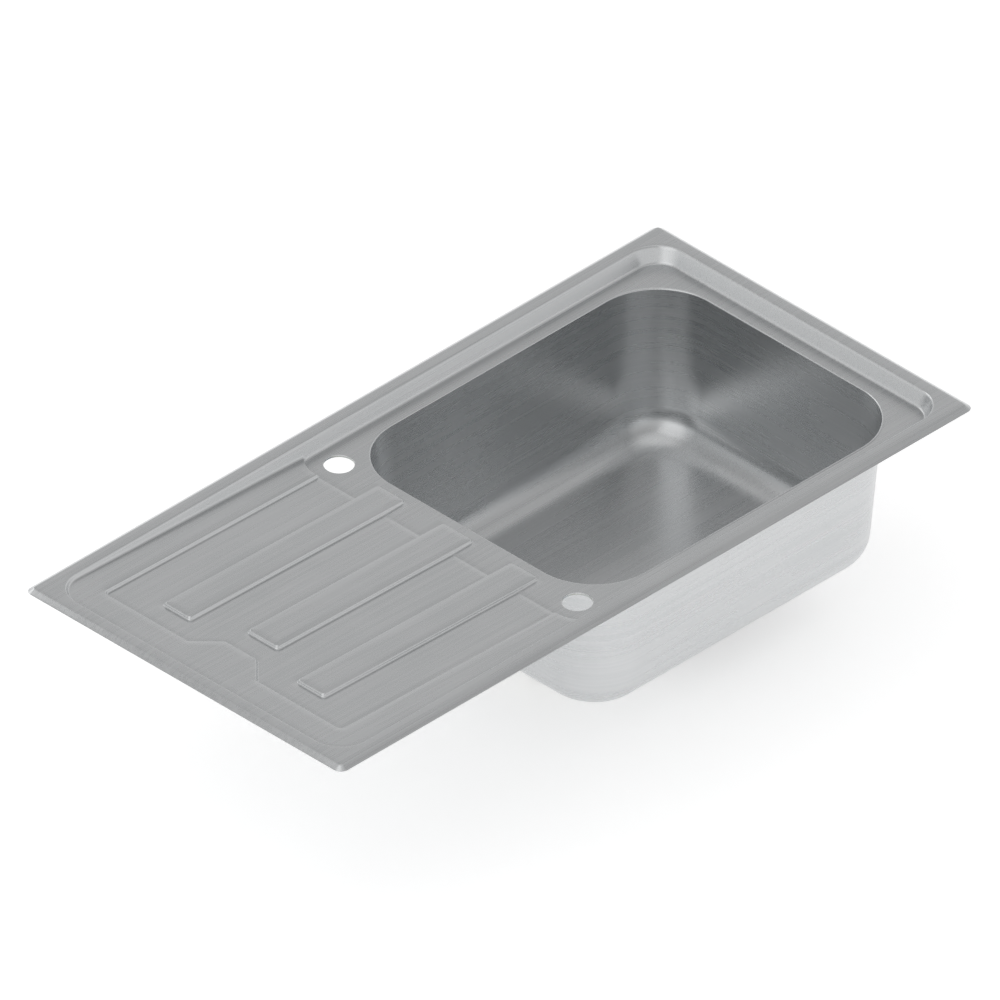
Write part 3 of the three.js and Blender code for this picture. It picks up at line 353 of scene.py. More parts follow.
def deck_height(points):
    """Height of the deck's upper side."""
    x = points[:, 0]
    drainer = drainer_level(x)
    deck = np.full(len(x), DECK_LEVEL)
    in_panel = inside_distance(points, parallel(panel, chord=FINE_CHORD))
    in_ribs = [inside_distance(points, parallel(rib, chord=FINE_CHORD)) for rib in ribs]
    in_low_side = inside_distance(points, parallel(low_side))
    strip_wall = deck - in_low_side / WALL_RUN
    shelf = deck - rolled_in(in_low_side, CREASE_ROLL_DROP, CREASE_ROLL_WIDTH)
    land = np.maximum(drainer, deck) - np.maximum(rolled_in(in_panel), rolled_in(in_low_side + PANEL_FOOT))
    level = fold_down(land, fold_up(shelf, strip_wall, PANEL_FOLD), PANEL_FOLD)
    sunk = rolled_in(in_panel - PANEL_FOOT) * np.clip((panel_end - x) / ROLL_WIDTH, 0, 1)
    for in_rib in in_ribs:
        sunk = np.maximum(sunk, rolled_in(in_rib + PANEL_FOOT))
    sunk = np.maximum(sunk, rolled_in(x - panel_end, CREASE_ROLL_DROP, CREASE_ROLL_WIDTH))
    panel_floor = fold_up(drainer - PANEL_STEP, deck, CREASE_FOLD) - sunk
    panel_wall = fold_up(panel_floor, drainer - in_panel / WALL_RUN, PANEL_FOLD)
    level = fold_down(level, panel_wall, np.clip(level - panel_floor, NO_FOLD, PANEL_FOLD))
    for in_rib in in_ribs:
        rib_top = drainer - rolled_in(in_rib)
        level = fold_up(level, fold_down(rib_top, drainer + in_rib / WALL_RUN, PANEL_FOLD), PANEL_FOLD)
    in_recess = inside_distance(points, parallel(recess))
    in_rim = inside_distance(points, parallel(rim))
    level = level - rolled_in(in_recess - (RIM_TOP - level) * WALL_RUN)
    rim_top = RIM_TOP - rolled_in(in_recess, RIM_ROLL_DROP, RIM_ROLL_WIDTH)
    rim_top = rim_top - rolled_in(in_rim - BEVEL_RUN, RIM_ROLL_DROP, RIM_ROLL_WIDTH)
    level = fold_down(fold_up(level, RIM_TOP - in_recess / WALL_RUN, WALL_FOLD), rim_top, WALL_FOLD)
    level = fold_down(level, in_rim * RIM_TOP / BEVEL_RUN, RIM_FOLD)
    for tap in tap_places:
        away = np.linalg.norm(points - tap, axis=1) - TAP_RADIUS
        level = level - TAP_LIP_DROP * np.clip(1 - away / TAP_LIP, 0, 1) ** 2
    return level


def slope_normals(points, height):
    """Upward normals of a height function, from its slopes."""
    step = 0.02
    across = (height(points + (step, 0)) - height(points - (step, 0))) / (2 * step)
    along = (height(points + (0, step)) - height(points - (0, step))) / (2 * step)
    normals = np.column_stack((-across, -along, np.ones(len(points))))
    return normals / np.linalg.norm(normals, axis=1)[:, None]


def circle(centre, radius, count=48):
    """Points of a circle in plan."""
    angles = np.arange(count) * 2 * math.pi / count
    return np.array(centre) + radius * np.column_stack((np.cos(angles), np.sin(angles)))


def deck_lines():
    """The lines the deck's mesh follows, each (points, closed): several beside each fold."""
    near_fold = (-2, -1.4, -0.9, -0.4, 0, 0.4, 0.9, 1.4, 2)
    near_panel = (-10, -1.4, -1, -0.6, -0.2, 0.2, 0.6, 1, 1.35, 1.7, 2.1, 2.6, 3.2, 11.9)
    near_strip = (8, 1.6, 1, 0.5, 0, -0.5, -1, -1.5, -2, -2.5, -3.2, -11.9)
    left_lap, right_lap, strip_reach, strip_lap = 12, 14, 40, 3
    lines = [(parallel(rim, inset), True) for inset in (0, 2, 4, 5.4, 6, 6.5, 7, 7.5, 8, 8.8, 13)]
    lines += [(parallel(recess, inset), True) for inset in (-6, *near_fold)]
    foot = (RIM_TOP - DECK_LEVEL) * WALL_RUN
    top_line, foot_line = parallel(recess), parallel(recess, foot)
    for offset in (*near_fold, 10):
        level_part = parallel(recess, foot + offset)
        level_part = level_part[level_part[:, 0] > strip_end]
        ends = [(strip_end - left_lap, level_part[i][1]) for i in (0, -1)]
        lines.append((np.vstack((ends[0], level_part, ends[1])), False))
        share = ((RIM_TOP - drainer_level(top_line[:, 0])) * WALL_RUN + offset) / foot
        sloping = top_line + (foot_line - top_line) * share[:, None]
        around = np.roll(sloping, len(sloping) // 4 * 2, axis=0)
        left, right = around[around[:, 0] < 0], sloping[sloping[:, 0] > 0]
        reach = (strip_end + right_lap - left[0][0]) / (right[-1][0] - left[0][0])
        first = left[0] + (right[-1] - left[0]) * reach
        last = left[-1] + (right[0] - left[-1]) * reach
        lines.append((np.vstack((first, left, last)), False))
    for inset in near_panel:
        lines.append((parallel(panel, inset, FINE_CHORD), True))
        lines += [(parallel(rib, -inset, FINE_CHORD), True) for rib in ribs]
    for inset in near_strip:
        strip = parallel(low_side, inset)
        for sign in (-1, 1):
            near = strip[(strip[:, 1] * sign > panel_side) & (strip[:, 0] < strip_end + strip_reach)]
            near = near[np.argsort(near[:, 0])]
            lines.append((np.vstack(((near[0][0], sign * (panel_side - strip_lap)), near)), False))
    for offset in (-8, -0.6, 0.6, 8):
        x = panel_end + offset
        lines.append((np.array([(x, -panel_side), (x, panel_side)]), False))
    lines += [(parallel(bowl_outline, inset), True) for inset in (-14, -7, SEAM_INSET)]
    for tap in tap_places:
        lines += [(circle(tap, TAP_RADIUS + extra), True) for extra in (0, 0.2, 0.45, 0.7, 1.0, 3.0)]
    return lines


def mesh_of_lines(lines, keep):
    """Triangles between lines in a plane, as (points, faces), where keep accepts their middles."""
    points, edges = [], []
    for line, closed in lines:
        first = len(points)
        points.extend(Vector(p) for p in line)
        edges.extend((i, i + 1) for i in range(first, len(points) - 1))
        if closed:
            edges.append((len(points) - 1, first))
    flat, _, faces, *_ = delaunay_2d_cdt(points, edges, [], 0, 1e-5)
    flat = np.array([tuple(p) for p in flat])
    faces = np.array([f for f in faces if len(f) == 3])
    faces = faces[keep(flat[faces].mean(1))]
    used, renumbered = np.unique(faces, return_inverse=True)
    return flat[used], renumbered.reshape(-1, 3)


def skin_both_sides(points, normals, faces, thickness):
    """A closed sheet: the given side, its offset, and a wall along every free edge.

    Returns points, faces and a normal for each face corner."""
    count = len(points)
    under = points - normals * thickness
    edges = np.vstack((faces[:, [0, 1]], faces[:, [1, 2]], faces[:, [2, 0]]))
    known = {tuple(e) for e in edges}
    free = [(a, b) for a, b in known if (b, a) not in known]
    walls, wall_normals = [], []
    for a, b in free:
        walls.append((b, a, a + count, b + count))
        out = np.cross(points[b] - points[a], normals[a])
        wall_normals.append([out / np.linalg.norm(out)] * 4)
    all_points = np.vstack((points, under))
    all_faces = [*map(tuple, faces), *map(tuple, faces[:, ::-1] + count), *walls]
    corners = np.vstack((normals[faces].reshape(-1, 3), -normals[faces[:, ::-1]].reshape(-1, 3)))
    if walls:
        corners = np.vstack((corners, np.array(wall_normals).reshape(-1, 3)))
    return all_points, all_faces, corners


def add_piece(name, points, faces, material, corner_normals=None, at=(0, 0, 0)):
    """An object from points in millimetres about a place. Without given normals it shades smooth, with
    sharp edges where it turns by more than 30 degrees."""
    mesh = bpy.data.meshes.new(name)
    mesh.from_pydata((np.asarray(points, float) * MM).tolist(), [], [tuple(map(int, f)) for f in faces])
    mesh.shade_smooth()
    if corner_normals is None:
        mesh.set_sharp_from_angle(angle=SHARP_EDGE)
    else:
        mesh.normals_split_custom_set(np.asarray(corner_normals, float).tolist())
    mesh.materials.append(material)
    piece = bpy.data.objects.new(name, mesh)
    piece.location = Vector(at) * MM
    bpy.context.collection.objects.link(piece)
    return piece


def dress(piece, slot, *nodes, body="sink"):
    """Sets a finished piece on its body, in place of the solids that it stands for."""
    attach(piece, body)
    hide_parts(*nodes)


def lay_finish(tree, output, values, tint, relief, rough=None):
    """Joins a finish to its output. Its tint is a pattern and its {share: colour}, its relief and its
    roughness are each a pattern and settings, and a pattern is (node, output)."""
    colour = add_node(tree, "ValToRGB", links={"Fac": tint[0]})
    for element, (share, hex_colour) in zip(colour.color_ramp.elements, tint[1].items()):
        element.position = share
        element.color = linear(hex_colour)
    bumps = add_node(tree, "Bump", relief[1], {"Height": relief[0]})
    surface = add_node(tree, "BsdfPrincipled", values, {"Base Color": (colour, 0), "Normal": (bumps, 0)})
    if rough:
        roughness = add_node(tree, "MapRange", rough[1], {"Value": rough[0]})
        tree.links.new(roughness.outputs[0], surface.inputs["Roughness"])
    tree.links.new(surface.outputs[0], output.inputs["Surface"])


def satin_stainless(name, walls):
    """Austenitic stainless steel 1.4301, satin. A belt leaves hair lines of about 0.1 mm, which give the
    eye streaks along the sink and a highlight drawn out across them. The lines are drawn 4 mm apart, so
    that they show. On the bowl they run level round the walls. Handling leaves faint, broad smears, and
    the sheet sways a little over about 170 mm, which bends the highlights."""
    material, tree, output = new_material(name)
    place = add_node(tree, "TexCoord")
    gap, length, smear, sway = 1 / (4 * MM), 1 / (400 * MM), 1 / (110 * MM), 6.0
    along, level = (length, gap, gap), (length, length, gap)
    streaks = [
        add_node(
            tree, "TexNoise", {"Scale": 1.0, "Detail": 1.0, "Roughness": 0.5},
            {"Vector": (add_node(tree, "Mapping", {"Scale": scale}, {"Vector": (place, "Object")}), 0)},
        )
        for scale in ((along, level) if walls else (along,))
    ]
    lines = streaks[0]
    if walls:
        shape = add_node(tree, "NewGeometry")
        axes = add_node(tree, "SeparateXYZ", links={0: (shape, "Normal")})
        upright = add_node(
            tree, "MapRange", {"From Min": 0.55, "From Max": 0.85}, {"Value": (axes, "Z")},
            interpolation_type="SMOOTHSTEP",
        )
        lines = add_node(
            tree, "Mix", links={"Factor": (upright, 0), "A": (streaks[1], 0), "B": (streaks[0], 0)},
            data_type="FLOAT",
        )
    smears = add_node(
        tree, "TexNoise", {"Scale": smear, "Detail": 4.0, "Roughness": 0.55, "Distortion": 0.4},
        {"Vector": (place, "Object")},
    )
    both = add_node(tree, "Mix", {"Factor": 0.4}, {"A": (lines, 0), "B": (smears, 0)}, data_type="FLOAT")
    waves = add_node(
        tree, "TexNoise", {"Scale": sway, "Detail": 1.0, "Roughness": 0.4}, {"Vector": (place, "Object")},
    )
    lay_finish(
        tree, output, METAL, tint=((both, 0), {0.3: "#C7C9CA", 0.7: "#D1D2D3"}),
        rough=((both, 0), {"From Min": 0.3, "From Max": 0.7, "To Min": 0.25, "To Max": 0.3}),
        relief=((waves, 0), {"Strength": 0.4, "Distance": 1.2 * MM}),
    )
    return material


def keep_deck(middles):
    """Which triangles of the deck's plan are steel, by their middles: none in the bowl or a tap hole."""
    kept = inside_distance(middles, parallel(bowl_outline, SEAM_INSET)) < 0
    for tap in tap_places:
        kept &= np.linalg.norm(middles - tap, axis=1) > TAP_RADIUS - HOLE_MARGIN
    return kept & (inside_distance(middles, parallel(rim)) > -RIM_MARGIN)


deck_plan, deck_faces = mesh_of_lines(deck_lines(), keep_deck)
deck_top = np.column_stack((deck_plan, deck_height(deck_plan)))
deck_points, deck_faces, deck_corners = skin_both_sides(
    deck_top, slope_normals(deck_plan, deck_height), deck_faces, SHEET,
)
deck_edge = inside_distance(deck_points[:, :2], parallel(rim)) < BEVEL_RUN / 2
deck_points[deck_edge, 2] = np.maximum(deck_points[deck_edge, 2], 0)
deck_steel = satin_stainless("satin_stainless_deck", walls=False)
deck_sheet = add_piece("deck_pressing", deck_points, deck_faces, deck_steel, deck_corners)
dress(deck_sheet, "satin_steel_deck", "deck")

# ---- Bowl -----------------------------------------------------------------------------------------
# The bowl is deep drawn from one stainless blank and seam welded into the deck, and the weld is ground
# flush, so that only a tight roll shows where the deck turns down. It has a 90 mm hole for the waste
# and a 36 mm hole for the overflow.

BOWL_DRAFT = math.radians(5)
BOWL_FOOT = 40.0
ROLL = 2.5
ROLL_STEPS = 6
FOOT_STEPS = 20
WASTE_HOLE = 45.0
OVERFLOW_HOLE = 18.0
OVERFLOW_LEVEL = DECK_LEVEL - 47
bowl_floor = round(bowl_low.z + SHEET, 1)
waste_low, waste_high = solid_box("waste_flange")
waste_x = round((waste_low.x + waste_high.x) / 2, 1)


def wall_inset(level):
    """How far the bowl's wall has drawn in at a level."""
    return (DECK_LEVEL - level) * math.tan(BOWL_DRAFT)


def bowl_profile():
    """(inset, level, angle of the normal above the horizontal), from the weld down to the floor."""
    roll_centre = -ROLL * (1 / math.cos(BOWL_DRAFT) - math.tan(BOWL_DRAFT))
    roll_level, foot_level = DECK_LEVEL - ROLL, bowl_floor + BOWL_FOOT
    foot_centre = wall_inset(foot_level) + BOWL_FOOT / math.cos(BOWL_DRAFT)
    profile = [(SEAM_INSET, DECK_LEVEL, math.pi / 2)]
    for step in range(ROLL_STEPS + 1):
        angle = math.pi / 2 + (BOWL_DRAFT - math.pi / 2) * step / ROLL_STEPS
        profile.append((roll_centre + ROLL * math.cos(angle), roll_level + ROLL * math.sin(angle), angle))
    for step in range(FOOT_STEPS + 1):
        angle = BOWL_DRAFT + (math.pi / 2 - BOWL_DRAFT) * step / FOOT_STEPS
        across, down = BOWL_FOOT * math.cos(angle), BOWL_FOOT * math.sin(angle)
        profile.append((foot_centre - across, foot_level - down, angle))
    return profile


def level_outline(corners, inset, level):
    """An outline moved inwards and set at a level."""
    flat = parallel(corners, inset)
    return np.column_stack((flat, np.full(len(flat), level)))


def patch_with_hole(outline, centre, axes, radius, count):
    """Triangles of a flat patch with a round hole, as (hole's points, triangles over both)."""
    flat = [Vector(((p - centre) @ axes[0], (p - centre) @ axes[1], 0)) for p in outline]
    hole = [Vector((*p, 0)) for p in circle((0, 0), radius, count)][::-1]
    return np.array([centre + axes[0] * p.x + axes[1] * p.y for p in hole]), tessellate_polygon([flat, hole])


def bowl_sheet():
    """Upper side of the bowl as points, normals and triangles."""
    profile = bowl_profile()
    inwards = parallel(bowl_outline, 1) - parallel(bowl_outline, 0)
    inwards = inwards / np.linalg.norm(inwards, axis=1)[:, None]
    count = len(inwards)
    points = np.vstack([level_outline(bowl_outline, inset, level) for inset, level, _ in profile])
    normals = np.vstack([
        np.column_stack((inwards * math.cos(angle), np.full(count, math.sin(angle))))
        for _, _, angle in profile
    ])
    wall_band, left_side = ROLL_STEPS + 1, count - 1
    faces = []
    for k in range(len(profile) - 1):
        for i in range(count):
            if (k, i) != (wall_band, left_side):
                a, b = k * count + i, k * count + (i + 1) % count
                faces += [(a, b + count, b), (a, a + count, b + count)]
    band = wall_band * count
    wall_edge = [band + left_side, band, band + count, band + count + left_side]
    floor_edge = [(len(profile) - 1) * count + i for i in range(count)]
    overflow = np.array((bowl_left + wall_inset(OVERFLOW_LEVEL), 0, OVERFLOW_LEVEL))
    wall_axes = np.array(((0, -1, 0), (math.sin(BOWL_DRAFT), 0, -math.cos(BOWL_DRAFT))))
    for edge, centre, axes, radius, segments in (
        (wall_edge, overflow, wall_axes, OVERFLOW_HOLE, 40),
        (floor_edge, np.array((waste_x, 0, bowl_floor)), np.eye(3)[:2], WASTE_HOLE, 64),
    ):
        hole, triangles = patch_with_hole(points[edge], centre, axes, radius, segments)
        numbers = edge + [len(points) + i for i in range(len(hole))]
        faces += [tuple(numbers[i] for i in triangle) for triangle in triangles]
        normals = np.vstack((normals, [normals[edge[0]]] * len(hole)))
        points = np.vstack((points, hole))
    faces = np.array(faces)
    a, b, c = (points[faces[:, i]] for i in range(3))
    wrong = (np.cross(b - a, c - a) * normals[faces].mean(1)).sum(1) < 0
    faces[wrong] = faces[wrong][:, ::-1]
    return points, normals, faces


bowl_points, bowl_faces, bowl_corners = skin_both_sides(*bowl_sheet(), SHEET)
bowl_steel = satin_stainless("satin_stainless_bowl", walls=True)
drawn_bowl = add_piece("bowl_drawing", bowl_points, bowl_faces, bowl_steel, bowl_corners)
dress(drawn_bowl, "satin_steel_bowl", "bowl")

# ---- Rim seal -------------------------------------------------------------------------------------
# A self-adhesive strip of closed-cell foam runs round under the rim and seals it to the worktop. It is
# extruded, so its edges are round and its sides are a little hollow.

SEAL_WIDTH = 7.5
SEAL_CORNER = 40.0
SEAL_WAIST = 0.4
SEAL_EDGE_ROUND = 0.6
SEAL_SIDE_ROUND = 2.0


def foam_rubber():
    """Black EPDM foam. Cells of about 0.6 mm, drawn 1.2 mm, give the eye a dull, pitted skin."""
    material, tree, output = new_material("foam_rubber")
    place = add_node(tree, "TexCoord")
    cells = add_node(
        tree, "TexVoronoi", {"Scale": 1 / (1.2 * MM), "Randomness": 1.0}, {"Vector": (place, "Object")},
    )
    lay_finish(
        tree, output, {"Roughness": 0.92}, tint=((cells, "Distance"), {0: "#1B1C1D", 1: "#3A3B3D"}),
        relief=((cells, "Distance"), {"Strength": 0.5, "Distance": 0.3 * MM}),
    )
    return material


def outward(points, faces):
    """The same form with its faces turned outwards. A form is (points in millimetres, faces)."""
    points = np.asarray(points, float)
    corners = np.array([(f[0], f[i], f[i + 1]) for f in faces for i in range(1, len(f) - 1)])
    a, b, c = points[corners[:, 0]], points[corners[:, 1]], points[corners[:, 2]]
    if (a * np.cross(b, c)).sum() < 0:
        faces = [f[::-1] for f in faces]
    return points, faces


def skin(rings, loop=False):
    """A form over rings of equal counts, capped at both ends or joined in a loop."""
    count = len(rings[0])
    faces = []
    for k in range(len(rings) if loop else len(rings) - 1):
        low, high = k * count, (k + 1) % len(rings) * count
        for i in range(count):
            j = (i + 1) % count
            faces.append((low + i, low + j, high + j, high + i))
    if not loop:
        faces.append(tuple(range(count))[::-1])
        faces.append(tuple(range((len(rings) - 1) * count, len(rings) * count)))
    return outward(np.vstack(rings), faces)


def rounded(corners, steps=4):
    """A profile whose corners, each (across, up, radius), are rounded."""
    points = []
    for i, (across, up, radius) in enumerate(corners):
        here = np.array((across, up), float)
        if not radius:
            points.append(here)
            continue
        back = np.array(corners[i - 1][:2]) - here
        onward = np.array(corners[(i + 1) % len(corners)][:2]) - here
        back, onward = back / np.linalg.norm(back), onward / np.linalg.norm(onward)
        half = math.acos(max(-1, min(1, back @ onward))) / 2
        centre = here + (back + onward) / np.linalg.norm(back + onward) * radius / math.sin(half)
        start, end = here + back * radius / math.tan(half), here + onward * radius / math.tan(half)
        first = math.atan2(*(start - centre)[::-1])
        sweep = (math.atan2(*(end - centre)[::-1]) - first + math.pi) % (2 * math.pi) - math.pi
        for step in range(steps + 1):
            angle = first + sweep * step / steps
            points.append(centre + radius * np.array((math.cos(angle), math.sin(angle))))
    return points


def rim_seal():
    """The strip's section, carried round under the rim."""
    low, high = solid_box("rim_seal")
    middle = (low.z + high.z) / 2
    outer = rectangle(low.x, low.y, high.x, high.y, SEAL_CORNER)
    section = rounded([
        (0, low.z, SEAL_EDGE_ROUND), (SEAL_WAIST, middle, SEAL_SIDE_ROUND), (0, high.z, SEAL_EDGE_ROUND),
        (SEAL_WIDTH, high.z, SEAL_EDGE_ROUND), (SEAL_WIDTH - SEAL_WAIST, middle, SEAL_SIDE_ROUND),
        (SEAL_WIDTH, low.z, SEAL_EDGE_ROUND),
    ])
    return skin([level_outline(outer, inset, level) for inset, level in section], loop=True)


dress(add_piece("rim_seal_strip", *rim_seal(), foam_rubber()), "foam_seal", "rim_seal")

# ---- Tap hole plates and earth tag ----------------------------------------------------------------
# A zinc-plated ring is spot welded under each tap hole to keep the thin deck from giving under a tap,
# and an earth tag is welded behind the bowl. Both are stamped, so their edges are slightly rounded.

FIT_GAP = 0.3
BEAD_FOOT, BEAD_CROWN, BEAD_HEIGHT = 2.0, 1.2, 0.6
CUT_MARGIN = 0.05
TAG_HOLE = 3.0
TAG_CORNER = 2.5
TAG_LAP = 0.5


def zinc_plate():
    """Zinc-plated steel. Blue passivation gives the eye a cool grey with a faint cloudy yellow, in
    clouds of about 25 mm, over a rolled grain of 0.3 mm, drawn 0.9 mm."""
    material, tree, output = new_material("zinc_plate")
    place = add_node(tree, "TexCoord")
    rolled = add_node(tree, "Mapping", {"Scale": (0.25, 1, 1)}, {"Vector": (place, "Object")})
    clouds = add_node(
        tree, "TexNoise", {"Scale": 1 / (25 * MM), "Detail": 3.0}, {"Vector": (place, "Object")},
    )
    grain = add_node(tree, "TexNoise", {"Scale": 1 / (0.9 * MM), "Detail": 2.0}, {"Vector": (rolled, 0)})
    lay_finish(
        tree, output, METAL, tint=((clouds, 0), {0.35: "#A9B0B6", 0.7: "#B9B8AC"}),
        rough=((grain, 0), {"To Min": 0.32, "To Max": 0.52}),
        relief=((grain, 0), {"Strength": 0.15, "Distance": 0.1 * MM}),
    )
    return material


def level_ring(radius, level, segments=64, wave=0.0, waves=0, phase=0.0):
    """A ring about Z, whose radius may wave."""
    angles = np.arange(segments) * 2 * math.pi / segments
    radii = radius + wave * np.cos(waves * angles + phase)
    return np.column_stack((radii * np.cos(angles), radii * np.sin(angles), np.full(segments, float(level))))


def turned(corners, loop=True, segments=64, steps=4):
    """A form turned about Z from (radius, height, rounding) corners."""
    return skin([level_ring(r, z, segments) for r, z in rounded(corners, steps)], loop)


def bent(corners, width):
    """A strip bent to a closed profile of (along, height, rounding) corners, centred along Y."""
    profile = np.array(rounded(corners, steps=5))
    return skin([
        np.column_stack((profile[:, 0], np.full(len(profile), y), profile[:, 1]))
        for y in (-width / 2, width / 2)
    ])


def pressed(lines, keep, height, thickness, base=None):
    """A pressed sheet from its lines in plan and its height, or a block if it has a flat base."""
    plan, faces = mesh_of_lines(lines, keep)
    top = np.column_stack((plan, height(plan)))
    points, all_faces, _ = skin_both_sides(top, slope_normals(plan, height), faces, thickness)
    if base is not None:
        points[len(top):] = np.column_stack((plan, np.full(len(plan), float(base))))
    return outward(points, all_faces)


def distance(points, centre=(0, 0)):
    """How far each point in plan is from a centre."""
    return np.linalg.norm(points - np.array(centre), axis=1)


def moved(form, matrix):
    """A form carried by a matrix."""
    points, faces = form
    return np.array([matrix @ Vector(p) for p in points]), faces


def joined(*forms):
    """Several forms as one."""
    points, faces, count = [], [], 0
    for some, around in forms:
        points.append(some)
        faces += [tuple(i + count for i in f) for f in around]
        count += len(some)
    return np.vstack(points), faces


def tap_hole_plate(low, high):
    """A flat ring with a stiffening bead pressed up round its middle."""
    outer, inner = (high.x - low.x) / 2, TAP_RADIUS + FIT_GAP
    bead = (inner + outer) / 2
    return turned([
        (inner, low.z, 0.3), (bead - BEAD_FOOT, low.z, 0.5), (bead - BEAD_CROWN, low.z + BEAD_HEIGHT, 0.5),
        (bead + BEAD_CROWN, low.z + BEAD_HEIGHT, 0.5), (bead + BEAD_FOOT, low.z, 0.5), (outer, low.z, 0.4),
        (outer, high.z, 0.4), (inner, high.z, 0.3),
    ])


def earth_tag(low, high):
    """The angled tag about its own middle, with its hole through the hanging leg."""
    half, leg, lap = (high.x - low.x) / 2, low.z - high.z, SHEET + TAG_LAP
    hole_level = leg + half
    flat = bent([
        (-half, 0, 1.2), (half, 0, 0.3), (half, -SHEET, 0.3), (SHEET - half, -SHEET, 0.3),
        (SHEET - half, -lap - 0.1, 0.0), (-half, -lap - 0.1, 0.0),
    ], 2 * half)
    plate = rounded([(-half, leg, TAG_CORNER), (half, leg, TAG_CORNER), (half, -lap, 0), (-half, -lap, 0)])
    web = pressed(
        [(plate, True), (circle((0, hole_level), TAG_HOLE, 32), True)],
        lambda p: distance(p, (0, hole_level)) > TAG_HOLE - CUT_MARGIN, lambda p: np.zeros(len(p)), SHEET,
    )
    upright = Matrix(((0, 0, 1, SHEET - half), (1, 0, 0, 0), (0, 1, 0, 0), (0, 0, 0, 1)))
    return joined(flat, moved(web, upright))


zinc = zinc_plate()
for node in ("tap_hole_plate_front", "tap_hole_plate_rear"):
    low, high = solid_box(node)
    centre = (low + high) / 2
    plate = add_piece(node + "_ring", *tap_hole_plate(low, high), zinc, at=(centre.x, centre.y, 0))
    dress(plate, "galvanised_steel", node)
low, high = solid_box("earth_tag")
centre = (low + high) / 2
tag = add_piece("earth_tag_blade", *earth_tag(low, high), zinc, at=(centre.x, centre.y, high.z))
dress(tag, "galvanised_steel", "earth_tag")

# ---- Drainer stiffeners ---------------------------------------------------------------------------
# Two hat channels of galvanised steel cross under the drainer. Their bends are rounded, and a row of
# spot welds has left a raised ring every 60 mm along each wing.

CHANNEL_CROWN = 9.0
BEND_OUTSIDE, BEND_INSIDE = 1.8, 0.8
WELD_PITCH = 60.0
WELD_RADIUS = 3.0
WELD_RISE = 0.15
WELD_EDGE = 0.6
OVERLAP = 0.2
STAMPED_EDGE = 0.2


def galvanised_sheet():
    """Hot-dip galvanised steel. Zinc crystals about 7 mm across give the eye a spangle of flat greys."""
    material, tree, output = new_material("galvanised_sheet")
    place = add_node(tree, "TexCoord")
    wobble = add_node(tree, "TexNoise", {"Scale": 1 / (6 * MM), "Detail": 2.0}, {"Vector": (place, "Object")})
    bend = add_node(
        tree, "Mix", {"Factor": 0.0015}, {"A": (place, "Object"), "B": (wobble, 1)}, data_type="VECTOR",
    )
    crystals = add_node(
        tree, "TexVoronoi", {"Scale": 1 / (7 * MM), "Randomness": 1.0}, {"Vector": (bend, "Result")},
    )
    shade = add_node(tree, "SeparateColor", links={"Color": (crystals, "Color")})
    lay_finish(
        tree, output, METAL, tint=((shade, 0), {0: "#969B9F", 1: "#C2C6C9"}),
        rough=((shade, 1), {"To Min": 0.3, "To Max": 0.58}),
        relief=((crystals, "Distance"), {"Strength": 0.2, "Distance": 0.1 * MM}),
    )
    return material


def hat_section(wing, crown, depth, steel, inside, outside):
    """The closed profile of a strip bent to a hat, whose wings have their upper side at zero."""
    half = [
        (crown - steel, steel - depth, inside), (crown - steel, 0, outside), (wing, 0, 0), (wing, -steel, 0),
        (crown, -steel, inside), (crown, -depth, outside),
    ]
    return half + [(-along, height, bend) for along, height, bend in half[::-1]]


def stiffener(low, high):
    """A hat channel about its own middle, at the height of its top at x = 0."""
    wing = (high.x - low.x) / 2
    deep = (high.z - low.z) - 2 * wing * DRAINER_FALL
    channel = bent(hat_section(wing, CHANNEL_CROWN, deep, SHEET, BEND_INSIDE, BEND_OUTSIDE), high.y - low.y)
    weld = turned([
        (WELD_RADIUS, -SHEET - WELD_RISE, 0), (WELD_RADIUS + WELD_EDGE, -SHEET + OVERLAP, 0),
        (WELD_RADIUS - WELD_EDGE, -SHEET + OVERLAP, 0),
    ], segments=24)
    welds = int((high.y - low.y) / WELD_PITCH)
    places = [
        (side * (wing + CHANNEL_CROWN) / 2, (i - (welds - 1) / 2) * WELD_PITCH, 0)
        for i in range(welds) for side in (-1, 1)
    ]
    points, faces = joined(channel, *(moved(weld, Matrix.Translation(place)) for place in places))
    points[:, 2] -= points[:, 0] * DRAINER_FALL
    return points, faces


def edge_softened(piece):
    """Gives a stamped piece the small burr-free round that its edges have."""
    soft = piece.modifiers.new("stamped_edge", "BEVEL")
    soft.width = STAMPED_EDGE * MM
    soft.segments = 2
    soft.limit_method = "ANGLE"
    soft.angle_limit = math.radians(50)
    soft.harden_normals = True
    return piece


galvanised = galvanised_sheet()
for node in ("drainer_stiffener_left", "drainer_stiffener_right"):
    low, high = solid_box(node)
    centre = (low + high) / 2
    top = high.z - (high.x - low.x) / 2 * DRAINER_FALL
    channel = add_piece(node + "_channel", *stiffener(low, high), galvanised, at=(centre.x, centre.y, top))
    dress(edge_softened(channel), "galvanised_steel", node)

# ---- Sound pads -----------------------------------------------------------------------------------
# Pads of bitumen felt are stuck to the bowl to dull the ring of the steel. They are die cut with round
# corners and pressed with a diamond pattern, and their edges have slumped a little.

PAD_THICKNESS = 2.0
PAD_CORNER = 14.0
PAD_SLUMP = 0.9
WALL_PAD_HEIGHT = 95.0


